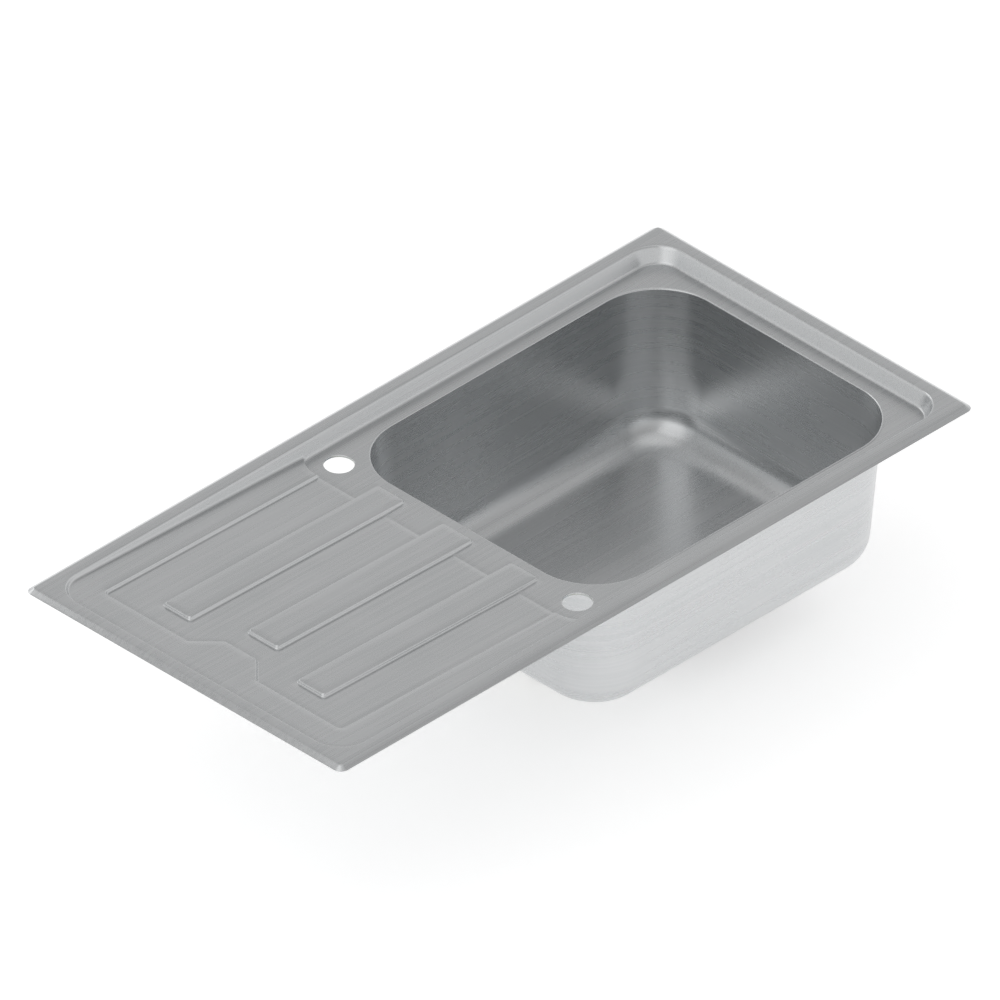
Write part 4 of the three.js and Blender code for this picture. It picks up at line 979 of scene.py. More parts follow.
def bitumen_felt():
    """Bitumen felt. A grain of 2.5 mm, drawn 3 mm, and diamonds 12 mm apart give the eye a dull black
    skin that is broken by small soft lights."""
    material, tree, output = new_material("bitumen_felt")
    place = add_node(tree, "TexCoord")
    axes = add_node(tree, "SeparateXYZ", links={0: (place, "Object")})
    waves = []
    for operation in ("ADD", "SUBTRACT"):
        slanted = add_node(tree, "Math", links={0: (axes, 0), 1: (axes, 1)}, operation=operation)
        phase = add_node(tree, "Math", {1: math.pi / (12 * MM)}, {0: (slanted, 0)}, operation="MULTIPLY")
        waves.append(add_node(tree, "Math", links={0: (phase, 0)}, operation="COSINE"))
    diamonds = add_node(tree, "Math", links={0: (waves[0], 0), 1: (waves[1], 0)}, operation="MAXIMUM")
    grain = add_node(tree, "TexNoise", {"Scale": 1 / (3 * MM), "Detail": 4.0}, {"Vector": (place, "Object")})
    height = add_node(tree, "Mix", {"Factor": 0.35}, {"A": (diamonds, 0), "B": (grain, 0)}, data_type="FLOAT")
    lay_finish(
        tree, output, {}, tint=((grain, 0), {0: "#17171A", 1: "#37373A"}),
        rough=((grain, 0), {"To Min": 0.62, "To Max": 0.85}),
        relief=((height, 0), {"Strength": 0.6, "Distance": 0.6 * MM}),
    )
    return material


def pad(length, width):
    """A pad in plan about its middle, from z = 0 up, with round corners and a slumped edge."""
    outline = rectangle(-length / 2, -width / 2, length / 2, width / 2, PAD_CORNER)
    edge = ((0.0, -PAD_THICKNESS), (0.0, -PAD_SLUMP), (PAD_SLUMP * 0.3, -PAD_SLUMP * 0.3), (PAD_SLUMP, 0.0))
    return skin([level_outline(outline, inset, PAD_THICKNESS + drop) for inset, drop in edge])


bitumen = bitumen_felt()
low, high = solid_box("sound_pad_floor")
floor_pad = add_piece(
    "sound_pad_floor_felt", *pad(high.x - low.x, high.y - low.y), bitumen,
    at=((low.x + high.x) / 2, (low.y + high.y) / 2, high.z),
)
floor_pad.rotation_euler = (math.pi, 0, 0)
dress(floor_pad, "bitumen_pad", "sound_pad_floor")
for node, turn, along in (("sound_pad_rear", math.pi / 2, "x"), ("sound_pad_right", 0, "y")):
    low, high = solid_box(node)
    length = getattr(high, along) - getattr(low, along)
    felt = add_piece(node + "_felt", *pad(WALL_PAD_HEIGHT, length), bitumen)
    face = Matrix.Rotation(turn, 4, "Z") @ Matrix.Rotation(math.pi / 2 + BOWL_DRAFT, 4, "Y")
    seat = face @ Vector((0, 0, -PAD_THICKNESS / 2))
    felt.matrix_world = Matrix.Translation(((low + high) / 2 + seat) * MM) @ face
    dress(felt, "bitumen_pad", node)

# ---- Clips ----------------------------------------------------------------------------------------
# Each clip hangs from a zinc-plated hat bracket that is welded under the deck. Its screw has a hexagon
# socket, and turning it draws the washer and the claw up against the underside of the worktop. The
# claw is stamped from spring steel.

SHELF_LEVEL = -24.0
CLIP_ANGLES = (180, 180, -90, 0, 0, 90)
BRACKET_SPAN, BRACKET_WING = 9.0, 21.0
BRACKET_STEEL, BRACKET_DEPTH, BRACKET_BEND = 1.5, 13.0, 1.2
COLLAR_HEIGHT, COLLAR_TOP, COLLAR_FOOT = 1.5, 1.3, 1.6
SCREW_RADIUS = 3.0
SCREW_HOLE = SCREW_RADIUS + FIT_GAP
SCREW_THREAD = (0.6, 1.0)
HEAD_RADIUS, HEAD_HEIGHT, HEAD_EDGE, HEAD_CHAMFER = 5.0, 3.6, 0.3, 0.5
SOCKET_RADIUS, SOCKET_DEPTH, SOCKET_SIDES = 2.3, 2.2, 6
SOCKET_MOUTH, SOCKET_LEAD = 1.06, 0.15
WASHER_RADIUS, WASHER_EDGES = 5.5, (0.1, 0.25, 0.25, 0.1)
CLAW_STEEL, CLAW_WIDTH, CLAW_HEEL, CLAW_HUB, CLAW_JOG, CLAW_REACH = 1.8, 12.0, 6.8, 8.0, 14.0, 37.0
CLAW_DROP, TOOTH_HEIGHT = 5.3, 1.6


def spring_steel():
    """Phosphated spring steel. Crystals of 0.4 mm, drawn 1 mm, give the eye a dark, dry, oily grey."""
    material, tree, output = new_material("spring_steel")
    place = add_node(tree, "TexCoord")
    grain = add_node(tree, "TexNoise", {"Scale": 1 / (1 * MM), "Detail": 3.0}, {"Vector": (place, "Object")})
    oil = add_node(tree, "TexNoise", {"Scale": 1 / (12 * MM), "Detail": 2.0}, {"Vector": (place, "Object")})
    lay_finish(
        tree, output, METAL, tint=((grain, 0), {0: "#54565A", 1: "#7B7E82"}),
        rough=((oil, 0), {"To Min": 0.3, "To Max": 0.6}),
        relief=((grain, 0), {"Strength": 0.3, "Distance": 0.1 * MM}),
    )
    return material


def zinc_fastener():
    """Bright zinc on a fastener. Fine turning marks every 0.8 mm give the eye rings round its axis."""
    material, tree, output = new_material("zinc_fastener")
    place = add_node(tree, "TexCoord")
    rings = add_node(
        tree, "TexWave", {"Scale": 0.5 / (0.8 * MM), "Distortion": 1.5, "Detail": 2.0, "Detail Scale": 2.0},
        {"Vector": (place, "Object")}, wave_type="RINGS", rings_direction="Z",
    )
    lay_finish(
        tree, output, METAL, tint=((rings, 1), {0: "#B3B9BE", 1: "#C9CCCB"}),
        rough=((rings, 1), {"To Min": 0.2, "To Max": 0.34}),
        relief=((rings, 1), {"Strength": 0.12, "Distance": 0.1 * MM}),
    )
    return material


def threaded(low, high, segments=32):
    """A rod with the screws' thread, which runs out at both ends."""
    depth, pitch = SCREW_THREAD
    rings = []
    steps = math.ceil((high - low) / pitch * 6)
    for step in range(steps + 1):
        level = low + (high - low) * step / steps
        cut = depth / 2 * min(1.0, (level - low) / pitch, (high - level) / pitch)
        rings.append(level_ring(SCREW_RADIUS - cut, level, segments, cut, 1, -2 * math.pi * level / pitch))
    return skin(rings)


def plain_ring(inner, outer, low, high, edges, segments=64):
    """A washer, gasket or boss about Z. Its edges' roundings run from the inner low one outwards."""
    corners = ((inner, low), (outer, low), (outer, high), (inner, high))
    return turned([(*corner, edge) for corner, edge in zip(corners, edges)], segments=segments)


def clip_bracket(place, turn):
    """The hat bracket about its screw, with its wings on the deck's underside and a collar inside."""
    section = hat_section(
        BRACKET_WING, BRACKET_SPAN, -SHELF_LEVEL, BRACKET_STEEL, BRACKET_BEND, BRACKET_BEND + BRACKET_STEEL,
    )
    points, faces = bent(section, BRACKET_DEPTH)
    wings = points[:, 2] > -2 * BRACKET_STEEL - BRACKET_BEND
    along = place.x + points[:, 0] * math.cos(turn) - points[:, 1] * math.sin(turn)
    under = np.maximum(drainer_level(along), DECK_LEVEL) - SHEET - FIT_GAP
    points[wings, 2] += under[wings]
    floor = SHELF_LEVEL + BRACKET_STEEL
    collar = turned([
        (SCREW_HOLE, floor - OVERLAP, 0), (SCREW_RADIUS + COLLAR_FOOT, floor - OVERLAP, 0),
        (SCREW_RADIUS + COLLAR_TOP, floor + COLLAR_HEIGHT, 0.4), (SCREW_HOLE, floor + COLLAR_HEIGHT, 0.2),
    ], segments=32)
    return joined((points, faces), collar)


def clip_screw(low, high):
    """A screw whose head is down, with a hexagon socket in it."""
    segments, seat = 48, low + HEAD_HEIGHT
    angles = np.arange(segments) * 2 * math.pi / segments
    sector = 2 * math.pi / SOCKET_SIDES
    hexagon = SOCKET_RADIUS * math.cos(sector / 2) / np.cos((angles + sector / 2) % sector - sector / 2)
    socket = np.column_stack((hexagon * np.cos(angles), hexagon * np.sin(angles)))
    rings = [
        level_ring(radius, level, segments) for radius, level in (
            (SCREW_RADIUS - OVERLAP, seat), (HEAD_RADIUS - HEAD_EDGE, seat), (HEAD_RADIUS, seat - HEAD_EDGE),
            (HEAD_RADIUS, low + HEAD_CHAMFER), (HEAD_RADIUS - HEAD_CHAMFER, low),
        )
    ]
    rings += [
        np.column_stack((socket * share, np.full(segments, low + rise)))
        for share, rise in ((SOCKET_MOUTH, 0), (1, SOCKET_LEAD), (1, SOCKET_DEPTH))
    ]
    return joined(skin(rings), threaded(seat - OVERLAP, high))


def clip_claw():
    """The claw about its screw, along X, with three teeth at its tip."""
    top = SHELF_LEVEL - FIT_GAP
    tip_low = top - CLAW_STEEL - CLAW_DROP
    tip_top = tip_low + CLAW_STEEL
    strip = bent([
        (-CLAW_HEEL, top - CLAW_STEEL, 0.4), (CLAW_HUB, top - CLAW_STEEL, 2.5), (CLAW_JOG, tip_low, 1.0),
        (CLAW_REACH, tip_low, 1.6), (CLAW_REACH, tip_top, 0.0), (CLAW_JOG + CLAW_STEEL / 2, tip_top, 2.5),
        (CLAW_HUB + CLAW_STEEL / 2, top, 1.0), (-CLAW_HEEL, top, 0.4),
    ], CLAW_WIDTH)
    tooth = bent([
        (CLAW_REACH - CLAW_STEEL, tip_top - OVERLAP, 0), (CLAW_REACH, tip_top - OVERLAP, 0),
        (CLAW_REACH, tip_top + TOOTH_HEIGHT, 0),
        (CLAW_REACH - CLAW_STEEL * 0.6, tip_top + TOOTH_HEIGHT * 0.9, 0),
    ], CLAW_WIDTH / 4)
    places = [(0, side * CLAW_WIDTH / 3, 0) for side in (-1, 0, 1)]
    return joined(strip, *(moved(tooth, Matrix.Translation(place)) for place in places))


spring, fastener = spring_steel(), zinc_fastener()
for number, angle in enumerate(CLIP_ANGLES, 1):
    screw_low, screw_high = solid_box(f"clip_screw_{number}")
    washer_low, washer_high = solid_box(f"clip_washer_{number}")
    centre, turn = (screw_low + screw_high) / 2, math.radians(angle)
    screw = clip_screw(screw_low.z, screw_high.z)
    washer = plain_ring(SCREW_HOLE, WASHER_RADIUS, washer_low.z, washer_high.z, WASHER_EDGES, 48)
    for kind, form, material, slot, body in (
        ("bracket", clip_bracket(centre, turn), zinc, "galvanised_steel", "sink"),
        ("screw", screw, fastener, "zinc_plated_fastener", f"clip_{number}_screw"),
        ("washer", washer, fastener, "zinc_plated_fastener", f"clip_{number}_carrier"),
        ("claw", clip_claw(), spring, "spring_steel_clip", f"clip_{number}_claw"),
    ):
        piece = add_piece(f"clip_{number}_{kind}_form", *form, material, at=(centre.x, centre.y, 0))
        piece.rotation_euler = (0, 0, turn)
        if kind in ("bracket", "claw"):
            edge_softened(piece)
        dress(piece, slot, f"clip_{kind}_{number}", body=body)

# ---- Waste ----------------------------------------------------------------------------------------
# A polished steel flange and cup stand in the bowl's floor, clamped by one screw to a moulded body
# below, with a gasket on each side of the steel. The body's outlet has a coarse thread for the trap.

waste_at = (waste_x, 0, 0)
WASTE_SHEET = 1.2
CUP_TOP = waste_high.z - 2 * WASTE_SHEET
CUP_FLOOR = waste_low.z + WASTE_SHEET
CUP_RADIUS, CUP_FLOOR_RADIUS, FLANGE_RADIUS = 40.0, 33.0, waste_high.x - waste_x
CROWN_RADIUS = CUP_RADIUS + 4 * WASTE_SHEET
CROWN_FOLD, LIP_FOLD, FOOT_FOLD = 0.8, 4.0, 8.0
FLANGE_LINES = (
    SCREW_HOLE, 8, 24, 28, 30, 31, 32, 32.8, 33.6, 34.5, 36, 38, 39.2, 39.8, 40.3, 41, 42, 43.5, 44.2, 45, 46,
    51, 56, FLANGE_RADIUS,
)
DRAIN_HOLES, DRAIN_CIRCLE, DRAIN_SIZE = 6, 16, 7
SLOTTED_HEAD_RADIUS, SLOTTED_HEAD_HEIGHT = 6.0, 3.0
GASKET_BULGE = (0.6, 0.8, 0.8, 0.6)
BODY_WALL = 3.0
BODY_RADIUS, BODY_FLANGE, OUTLET_RADIUS = 47.0, 55.0, 23.0
BODY_DEPTH, FUNNEL_DROP = 42.0, 13.0
OUTLET_PITCH, OUTLET_THREAD, OUTLET_ROOT = 3.0, 1.5, 1.6
GUSSET_THICKNESS, GUSSET_DROP = 1.6, 16.0
BOSS_RADIUS, WEB_HEIGHT = 6.0, 6.0
SPIGOT_BORE, SPIGOT_RADIUS, SPIGOT_COLLAR = 7.5, 10.0, 12.5
HOSE_LEVEL = bowl_floor - SHEET - 24.0
INLET_END = BODY_RADIUS + 12.0


def polished_steel():
    """Polished stainless steel. Lathe marks every 0.5 mm, drawn 1.2 mm, give the eye fine rings that
    spread a highlight into a fan, under wipe marks a few centimetres long."""
    material, tree, output = new_material("polished_steel")
    place = add_node(tree, "TexCoord")
    axes = add_node(tree, "SeparateXYZ", links={0: (place, "Object")})
    squares = [
        add_node(tree, "Math", links={0: (axes, i), 1: (axes, i)}, operation="MULTIPLY") for i in (0, 1)
    ]
    both = add_node(tree, "Math", links={0: (squares[0], 0), 1: (squares[1], 0)}, operation="ADD")
    radius = add_node(tree, "Math", links={0: (both, 0)}, operation="SQRT")
    marks = add_node(
        tree, "TexNoise", {"Scale": 1 / (1.2 * MM), "Detail": 2.0}, {"W": (radius, 0)}, noise_dimensions="1D",
    )
    wiped = add_node(tree, "Mapping", {"Scale": (1, 0.3, 1)}, {"Vector": (place, "Object")})
    wipes = add_node(tree, "TexNoise", {"Scale": 1 / (20 * MM), "Detail": 3.0}, {"Vector": (wiped, 0)})
    mixed = add_node(tree, "Mix", {"Factor": 0.5}, {"A": (marks, 0), "B": (wipes, 0)}, data_type="FLOAT")
    lay_finish(
        tree, output, METAL, tint=((mixed, 0), {0: "#C9CBCC", 1: "#DADBDB"}),
        rough=((mixed, 0), {"From Min": 0.3, "From Max": 0.7, "To Min": 0.1, "To Max": 0.22}),
        relief=((marks, 0), {"Strength": 0.08, "Distance": 0.1 * MM}),
    )
    return material


def soft_rubber():
    """Black NBR rubber. A mould grain of 0.5 mm, drawn 1 mm, gives the eye a soft, even sheen, greyed
    by bloom in patches of about 10 mm."""
    material, tree, output = new_material("soft_rubber")
    place = add_node(tree, "TexCoord")
    bloom = add_node(tree, "TexNoise", {"Scale": 1 / (10 * MM), "Detail": 3.0}, {"Vector": (place, "Object")})
    grain = add_node(tree, "TexNoise", {"Scale": 1 / (1 * MM), "Detail": 2.0}, {"Vector": (place, "Object")})
    lay_finish(
        tree, output, {}, tint=((bloom, 0), {0.4: "#161718", 0.75: "#2C2D2F"}),
        rough=((bloom, 0), {"To Min": 0.5, "To Max": 0.72}),
        relief=((grain, 0), {"Strength": 0.15, "Distance": 0.1 * MM}),
    )
    return material


def moulded_plastic(name, dark, light):
    """Moulded polypropylene. Flow marks a few centimetres long and a mould texture of 0.7 mm, drawn
    1 mm, give the eye a waxy half gloss, and light passes a little way into it."""
    material, tree, output = new_material(name)
    place = add_node(tree, "TexCoord")
    drawn = add_node(tree, "Mapping", {"Scale": (1, 1, 0.3)}, {"Vector": (place, "Object")})
    flow = add_node(tree, "TexNoise", {"Scale": 1 / (20 * MM), "Detail": 2.0}, {"Vector": (drawn, 0)})
    grain = add_node(tree, "TexNoise", {"Scale": 1 / (1 * MM), "Detail": 2.0}, {"Vector": (place, "Object")})
    waxy = {"Subsurface Weight": 0.12, "Subsurface Radius": (4 * MM, 4 * MM, 4 * MM), "Subsurface Scale": 1.0}
    lay_finish(
        tree, output, waxy, tint=((flow, 0), {0.3: dark, 0.7: light}),
        rough=((flow, 0), {"To Min": 0.34, "To Max": 0.52}),
        relief=((grain, 0), {"Strength": 0.1, "Distance": 0.1 * MM}),
    )
    return material


def waste_flange_height(points):
    """Height of the flange's upper side: its slope, the lip, the cup's wall and floor."""
    r = distance(points)
    wall = CUP_TOP + (r - CUP_RADIUS) * (CUP_TOP - CUP_FLOOR) / (CUP_RADIUS - CUP_FLOOR_RADIUS)
    lip = CUP_TOP + (r - CUP_RADIUS) * 2 * WASTE_SHEET / (CROWN_RADIUS - CUP_RADIUS)
    crown = CUP_TOP + 2 * WASTE_SHEET - (r - CROWN_RADIUS) * WASTE_SHEET / (FLANGE_RADIUS - CROWN_RADIUS)
    top = fold_down(fold_down(lip, crown, CROWN_FOLD), wall, LIP_FOLD)
    return fold_up(top, np.full(len(r), CUP_FLOOR), FOOT_FOLD)


def hole_ring(count, radius, size, segments=24):
    """Outlines of round holes on a circle, and a test for points in plan that miss them."""
    centres = circle((0, 0), radius, count)

    def missed(points):
        return np.all([distance(points, centre) > size / 2 - CUT_MARGIN for centre in centres], axis=0)

    return [circle(centre, size / 2, segments) for centre in centres], missed


def pierced(radii, cuts, missed, height, thickness, segments=96):
    """A pressed disc about Z, from the radii of its lines, hole first and rim last, and its cuts."""

    def keep(middles):
        away = distance(middles)
        return (away > radii[0] - CUT_MARGIN) & (away < radii[-1]) & missed(middles)

    lines = [circle((0, 0), radius, segments) for radius in radii] + cuts
    return pressed([(line, True) for line in lines], keep, height, thickness)


def driver_head(base):
    """A low screw head about Z with a driver's slot across it."""
    radius, height = SLOTTED_HEAD_RADIUS, SLOTTED_HEAD_HEIGHT
    slot_half, slot_depth, steep = 0.6, 1.0, 0.12

    def top(points):
        dome = base + height - 0.25 * height * (distance(points) / radius) ** 4
        return dome - slot_depth * np.clip(1 - (np.abs(points[:, 1]) - slot_half) / steep, 0, 1)

    lines = [(circle((0, 0), r, 48), True) for r in (radius * 0.5, radius * 0.8, radius * 0.93, radius)]
    for y in (-slot_half - steep, -slot_half, slot_half, slot_half + steep):
        reach = math.sqrt(radius ** 2 - y ** 2)
        lines.append((np.array([(-reach, y), (reach, y)]), False))
    return pressed(lines, lambda p: distance(p) < radius, top, height, base)


def spaced(form, count, first=0.0):
    """Copies of a form, evenly spaced about Z."""
    return [moved(form, Matrix.Rotation(2 * math.pi * (i + first) / count, 4, "Z")) for i in range(count)]


def gussets(count, radius, flange, under, drop, tip):
    """Ribs round a moulded cup, from its wall to under its flange."""
    rib = bent([
        (radius - 1, under + 0.5, 0), (flange - 1, under + 0.5, 0), (flange - 1, under - 1, tip),
        (radius, under - drop, 1), (radius - 1, under - drop, 0),
    ], GUSSET_THICKNESS)
    return spaced(rib, count, 0.5)


def waste_body():
    """The moulded body: cup, gussets under its flange, funnel, threaded outlet, boss and inlet."""
    low, high = solid_box("waste_body")
    shoulder = bowl_floor - SHEET - BODY_DEPTH
    throat, under = shoulder - FUNNEL_DROP, high.z - BODY_WALL
    boss_top = CUP_FLOOR - WASTE_SHEET - FIT_GAP
    inner, cup, root = OUTLET_RADIUS - BODY_WALL, BODY_RADIUS - BODY_WALL, OUTLET_RADIUS - OUTLET_ROOT
    shell = turned([
        (inner, low.z, 0.5), (root, low.z, 0.8), (root, throat, 0), (OUTLET_RADIUS, throat, 0),
        (BODY_RADIUS, shoulder, 4), (BODY_RADIUS, under, 1.2), (BODY_FLANGE, under, 0.8),
        (BODY_FLANGE, high.z, 0.8), (cup, high.z, 0.4), (cup, shoulder + BODY_WALL, 4),
        (inner, throat + BODY_WALL, 2),
    ], segments=96)
    start, cut = low.z + 1, OUTLET_THREAD / 2
    levels = np.linspace(start, throat, math.ceil((throat - start) / OUTLET_PITCH * 8) + 1)
    thread = [
        level_ring(OUTLET_RADIUS - cut, level, 96, cut, 1, -2 * math.pi * level / OUTLET_PITCH)
        for level in levels
    ]
    thread += [level_ring(inner + 0.5, throat, 96), level_ring(inner + 0.5, start, 96)]
    boss = plain_ring(SCREW_HOLE, BOSS_RADIUS, throat, boss_top, (0, 1, 0.6, 0), 32)
    web = bent([
        (BOSS_RADIUS - 1, throat, 0), (inner + 1, throat, 0), (inner + 1, throat + WEB_HEIGHT, 1),
        (BOSS_RADIUS - 1, throat + WEB_HEIGHT, 1),
    ], BODY_WALL)
    inlet = plain_ring(SPIGOT_BORE, SPIGOT_RADIUS, cup - 0.5, INLET_END, (0, 0, 0.6, 0.4), 48)
    collar = plain_ring(
        SPIGOT_RADIUS - 0.5, SPIGOT_COLLAR, BODY_RADIUS - 1, BODY_RADIUS + 2, (0, 0, 0.8, 0), 48,
    )
    sideways = Matrix.Translation((0, 0, HOSE_LEVEL)) @ Matrix.Rotation(-math.pi / 2, 4, "Y")
    return joined(
        shell, skin(thread, loop=True), boss, *gussets(12, BODY_RADIUS, BODY_FLANGE, under, GUSSET_DROP, 0.5),
        *spaced(web, 3), moved(inlet, sideways), moved(collar, sideways),
    )


polished, rubber = polished_steel(), soft_rubber()
white_plastic = moulded_plastic("white_polypropylene", "#DEDEDA", "#ECECE8")
drain_holes = hole_ring(DRAIN_HOLES, DRAIN_CIRCLE, DRAIN_SIZE)
flange = pierced(FLANGE_LINES, *drain_holes, waste_flange_height, WASTE_SHEET)
dress(add_piece("waste_cup", *flange, polished, at=waste_at), "polished_fitting", "waste_flange")
for node, inner in (("waste_gasket_upper", 45.0), ("waste_gasket_lower", 44.0)):
    low, high = solid_box(node)
    half = (high.z - low.z) / 2
    edges = half * np.array(GASKET_BULGE)
    gasket = plain_ring(inner, (high.x - low.x) / 2, low.z, high.z, edges, 96)
    dress(add_piece(node + "_ring", *gasket, rubber, at=waste_at), "rubber", node)
moulding = add_piece("waste_body_moulding", *waste_body(), white_plastic, at=waste_at)
dress(moulding, "white_plastic", "waste_body")
screw_low, screw_high = solid_box("waste_screw")
seat = screw_high.z - SLOTTED_HEAD_HEIGHT
clamp = joined(driver_head(seat), threaded(screw_low.z, seat + OVERLAP))
dress(add_piece("waste_clamp_screw", *clamp, fastener, at=waste_at), "stainless_screw", "waste_screw")

# ---- Basket ---------------------------------------------------------------------------------------
# The strainer basket is pressed from polished steel and lifts out by its turned knob. Its wall is
# slotted all round, and a rubber ring under its floor shuts the drain holes when it is pressed down.

basket_low, basket_high = solid_box("basket")
BASKET_SHEET = 1.0
BASKET_FLOOR = basket_low.z + BASKET_SHEET
BASKET_RIM = (basket_high.x - basket_low.x) / 2
BASKET_MOUTH, BASKET_FOOT = BASKET_RIM - 3.0, 28.0
BASKET_LINES = (
    3.5, 12, 22, 25, 26.5, 27.3, 28, 28.6, 29.2, 30, 31, 32, 32.8, 33.3, 33.8, 34.4, 35.2, 35.8, BASKET_RIM,
)
BASKET_SLOTS, SLOT_HALF_WIDTH, SLOT_HALF_HEIGHT = 20, 1.5, 8.5
RIM_CURL_WIDTH, RIM_CURL = 1.2, 0.25
MOUTH_FOLD, BASKET_FOOT_FOLD = 2.5, 6.0
PLUG_BORE, PLUG_GROOVE, PLUG_RADIUS = 7, 21, 24


def basket_height(points):
    """Height of the basket's upper side: its floor, its wall and its curled rim."""
    r = distance(points)
    steepness = (basket_high.z - BASKET_FLOOR) / (BASKET_MOUTH - BASKET_FOOT)
    wall = BASKET_FLOOR + (r - BASKET_FOOT) * steepness
    rim = basket_high.z - RIM_CURL * np.clip(r - BASKET_RIM + RIM_CURL_WIDTH, 0, None) ** 2
    return fold_up(fold_down(wall, rim, MOUTH_FOLD), np.full(len(r), BASKET_FLOOR), BASKET_FOOT_FOLD)


def basket_slots():
    """Outlines in plan of the slots, which have round ends on the sloping wall, and a test for points
    that miss them."""
    angles = np.linspace(0, 2 * math.pi, 24, endpoint=False)
    ends = np.copysign(SLOT_HALF_HEIGHT - SLOT_HALF_WIDTH, np.sin(angles))
    share = 0.5 + (ends + SLOT_HALF_WIDTH * np.sin(angles)) / (basket_high.z - BASKET_FLOOR)
    radii = BASKET_FOOT + (BASKET_MOUTH - BASKET_FOOT) * share
    slots = []
    for i in range(BASKET_SLOTS):
        turns = 2 * math.pi * i / BASKET_SLOTS + SLOT_HALF_WIDTH * np.cos(angles) / radii
        slots.append(np.column_stack((radii * np.cos(turns), radii * np.sin(turns))))

    def missed(points):
        return np.all([inside_distance(points, slot) < 0 for slot in slots], axis=0)

    return slots, missed


def basket_knob():
    """A turned knob with a waisted stem and a dished top."""
    low, high = solid_box("basket_knob")
    top, foot, stem, waist, shoe, head = high.z, BASKET_FLOOR + FIT_GAP, 3, 2.4, 6, 9
    return turned([
        (0.2, low.z, 0), (stem, low.z, 0.4), (stem, foot, 0), (shoe, foot, 0.4), (shoe, foot + 1, 0.4),
        (stem, foot + 2.2, 1.5), (waist, (foot + top) / 2, 8), (stem, top - 10, 3), (head, top - 6.5, 1.5),
        (head, top - 1.2, 1), (7.2, top, 0.8), (5, top - 0.5, 2), (0.2, top - 0.8, 0),
    ], loop=False, steps=6)


def basket_plug():
    """The rubber ring under the basket's floor, whose underside has a groove inside its sealing lip."""
    low, high = solid_box("basket_plug")
    return turned([
        (PLUG_BORE, low.z, 0.4), (PLUG_GROOVE - 1, low.z, 0.8), (PLUG_GROOVE, low.z + 1.2, 0.5),
        (PLUG_GROOVE + 1.5, low.z + 0.4, 0.3), (PLUG_RADIUS, low.z, 0.5), (PLUG_RADIUS, high.z, 1),
        (PLUG_BORE, high.z, 0.4),
    ])


strainer = pierced(BASKET_LINES, *basket_slots(), basket_height, BASKET_SHEET, 120)
for name, form, material, slot, node in (
    ("basket_strainer", strainer, polished, "polished_fitting", "basket"),
    ("basket_plug_ring", basket_plug(), rubber, "rubber", "basket_plug"),
    ("basket_knob_turning", basket_knob(), polished, "polished_fitting", "basket_knob"),
):
    dress(add_piece(name, *form, material, at=waste_at), slot, node, body="basket")

# ---- Overflow -------------------------------------------------------------------------------------
# A pressed steel plate with a ring of holes covers the overflow, and one screw clamps it through the
# bowl's wall to a moulded polypropylene elbow. A ribbed hose takes the water to the waste, held by a
# ribbed nut at each end.

overflow_matrix = (
    Matrix.Translation((bowl_left + wall_inset(OVERFLOW_LEVEL), 0, OVERFLOW_LEVEL))
    @ Matrix.Rotation(math.pi / 2 - BOWL_DRAFT, 4, "Y")
)
PLATE_RADIUS, PLATE_SHEET, PLATE_HEIGHT = 28.0, 0.8, 2.0
PLATE_EDGE_SLOPE, PLATE_FOLD = 1.2, 0.8
PLATE_GROOVE, GROOVE_DEPTH, GROOVE_HALF_WIDTH = 20, 0.35, 1.5
PLATE_LINES = (SCREW_HOLE, 6.5, 17, 18.5, 19, 19.5, 20, 20.5, 21, 21.5, 25.5, 26.3, 27, 27.5, PLATE_RADIUS)
PLATE_HOLES, PLATE_CIRCLE, PLATE_HOLE_SIZE = 8, 12, 7
OVERFLOW_SEAT, OVERFLOW_SCREW_END = 2.6, -29.6
GASKET_FACE, GASKET_BACK = -1.3, -4.3
ELBOW_FACE, ELBOW_BACK, ELBOW_RADIUS, ELBOW_FLANGE, ELBOW_WALL = -4.6, -54.6, 18.5, 27.0, 2.5
ELBOW_GUSSET_DROP = 10.0
SPIGOT_DROP, SPIGOT_SHOULDER = 9.25, 1.5
HOSE_TOP = DECK_LEVEL - 77
HOSE_X = bowl_left - 38
HOSE_RADIUS, HOSE_GROOVE, HOSE_BORE, HOSE_PITCH, HOSE_BEND = 11.0, 9.6, 7.6, 4.0, 88.0
HOSE_STRAIGHT = HOSE_TOP - HOSE_LEVEL - HOSE_BEND
HOSE_QUARTER = HOSE_BEND * math.pi / 2
NUT_RADIUS, NUT_HALF, NUT_RIB, NUT_RIBS = 14.4, 7.0, 0.4, 30
NUT_COLLAR, NUT_CHAMFER = 2.0, 0.6


def overflow_plate_height(points):
    """Height of the plate's face over the wall, with a groove pressed round the holes."""
    r = distance(points)
    groove = GROOVE_DEPTH * np.clip(1 - np.abs(r - PLATE_GROOVE) / GROOVE_HALF_WIDTH, 0, 1) ** 2
    face = np.full(len(r), FIT_GAP + PLATE_HEIGHT) - groove
    return fold_down(face, FIT_GAP + PLATE_SHEET + (PLATE_RADIUS - r) * PLATE_EDGE_SLOPE, PLATE_FOLD)


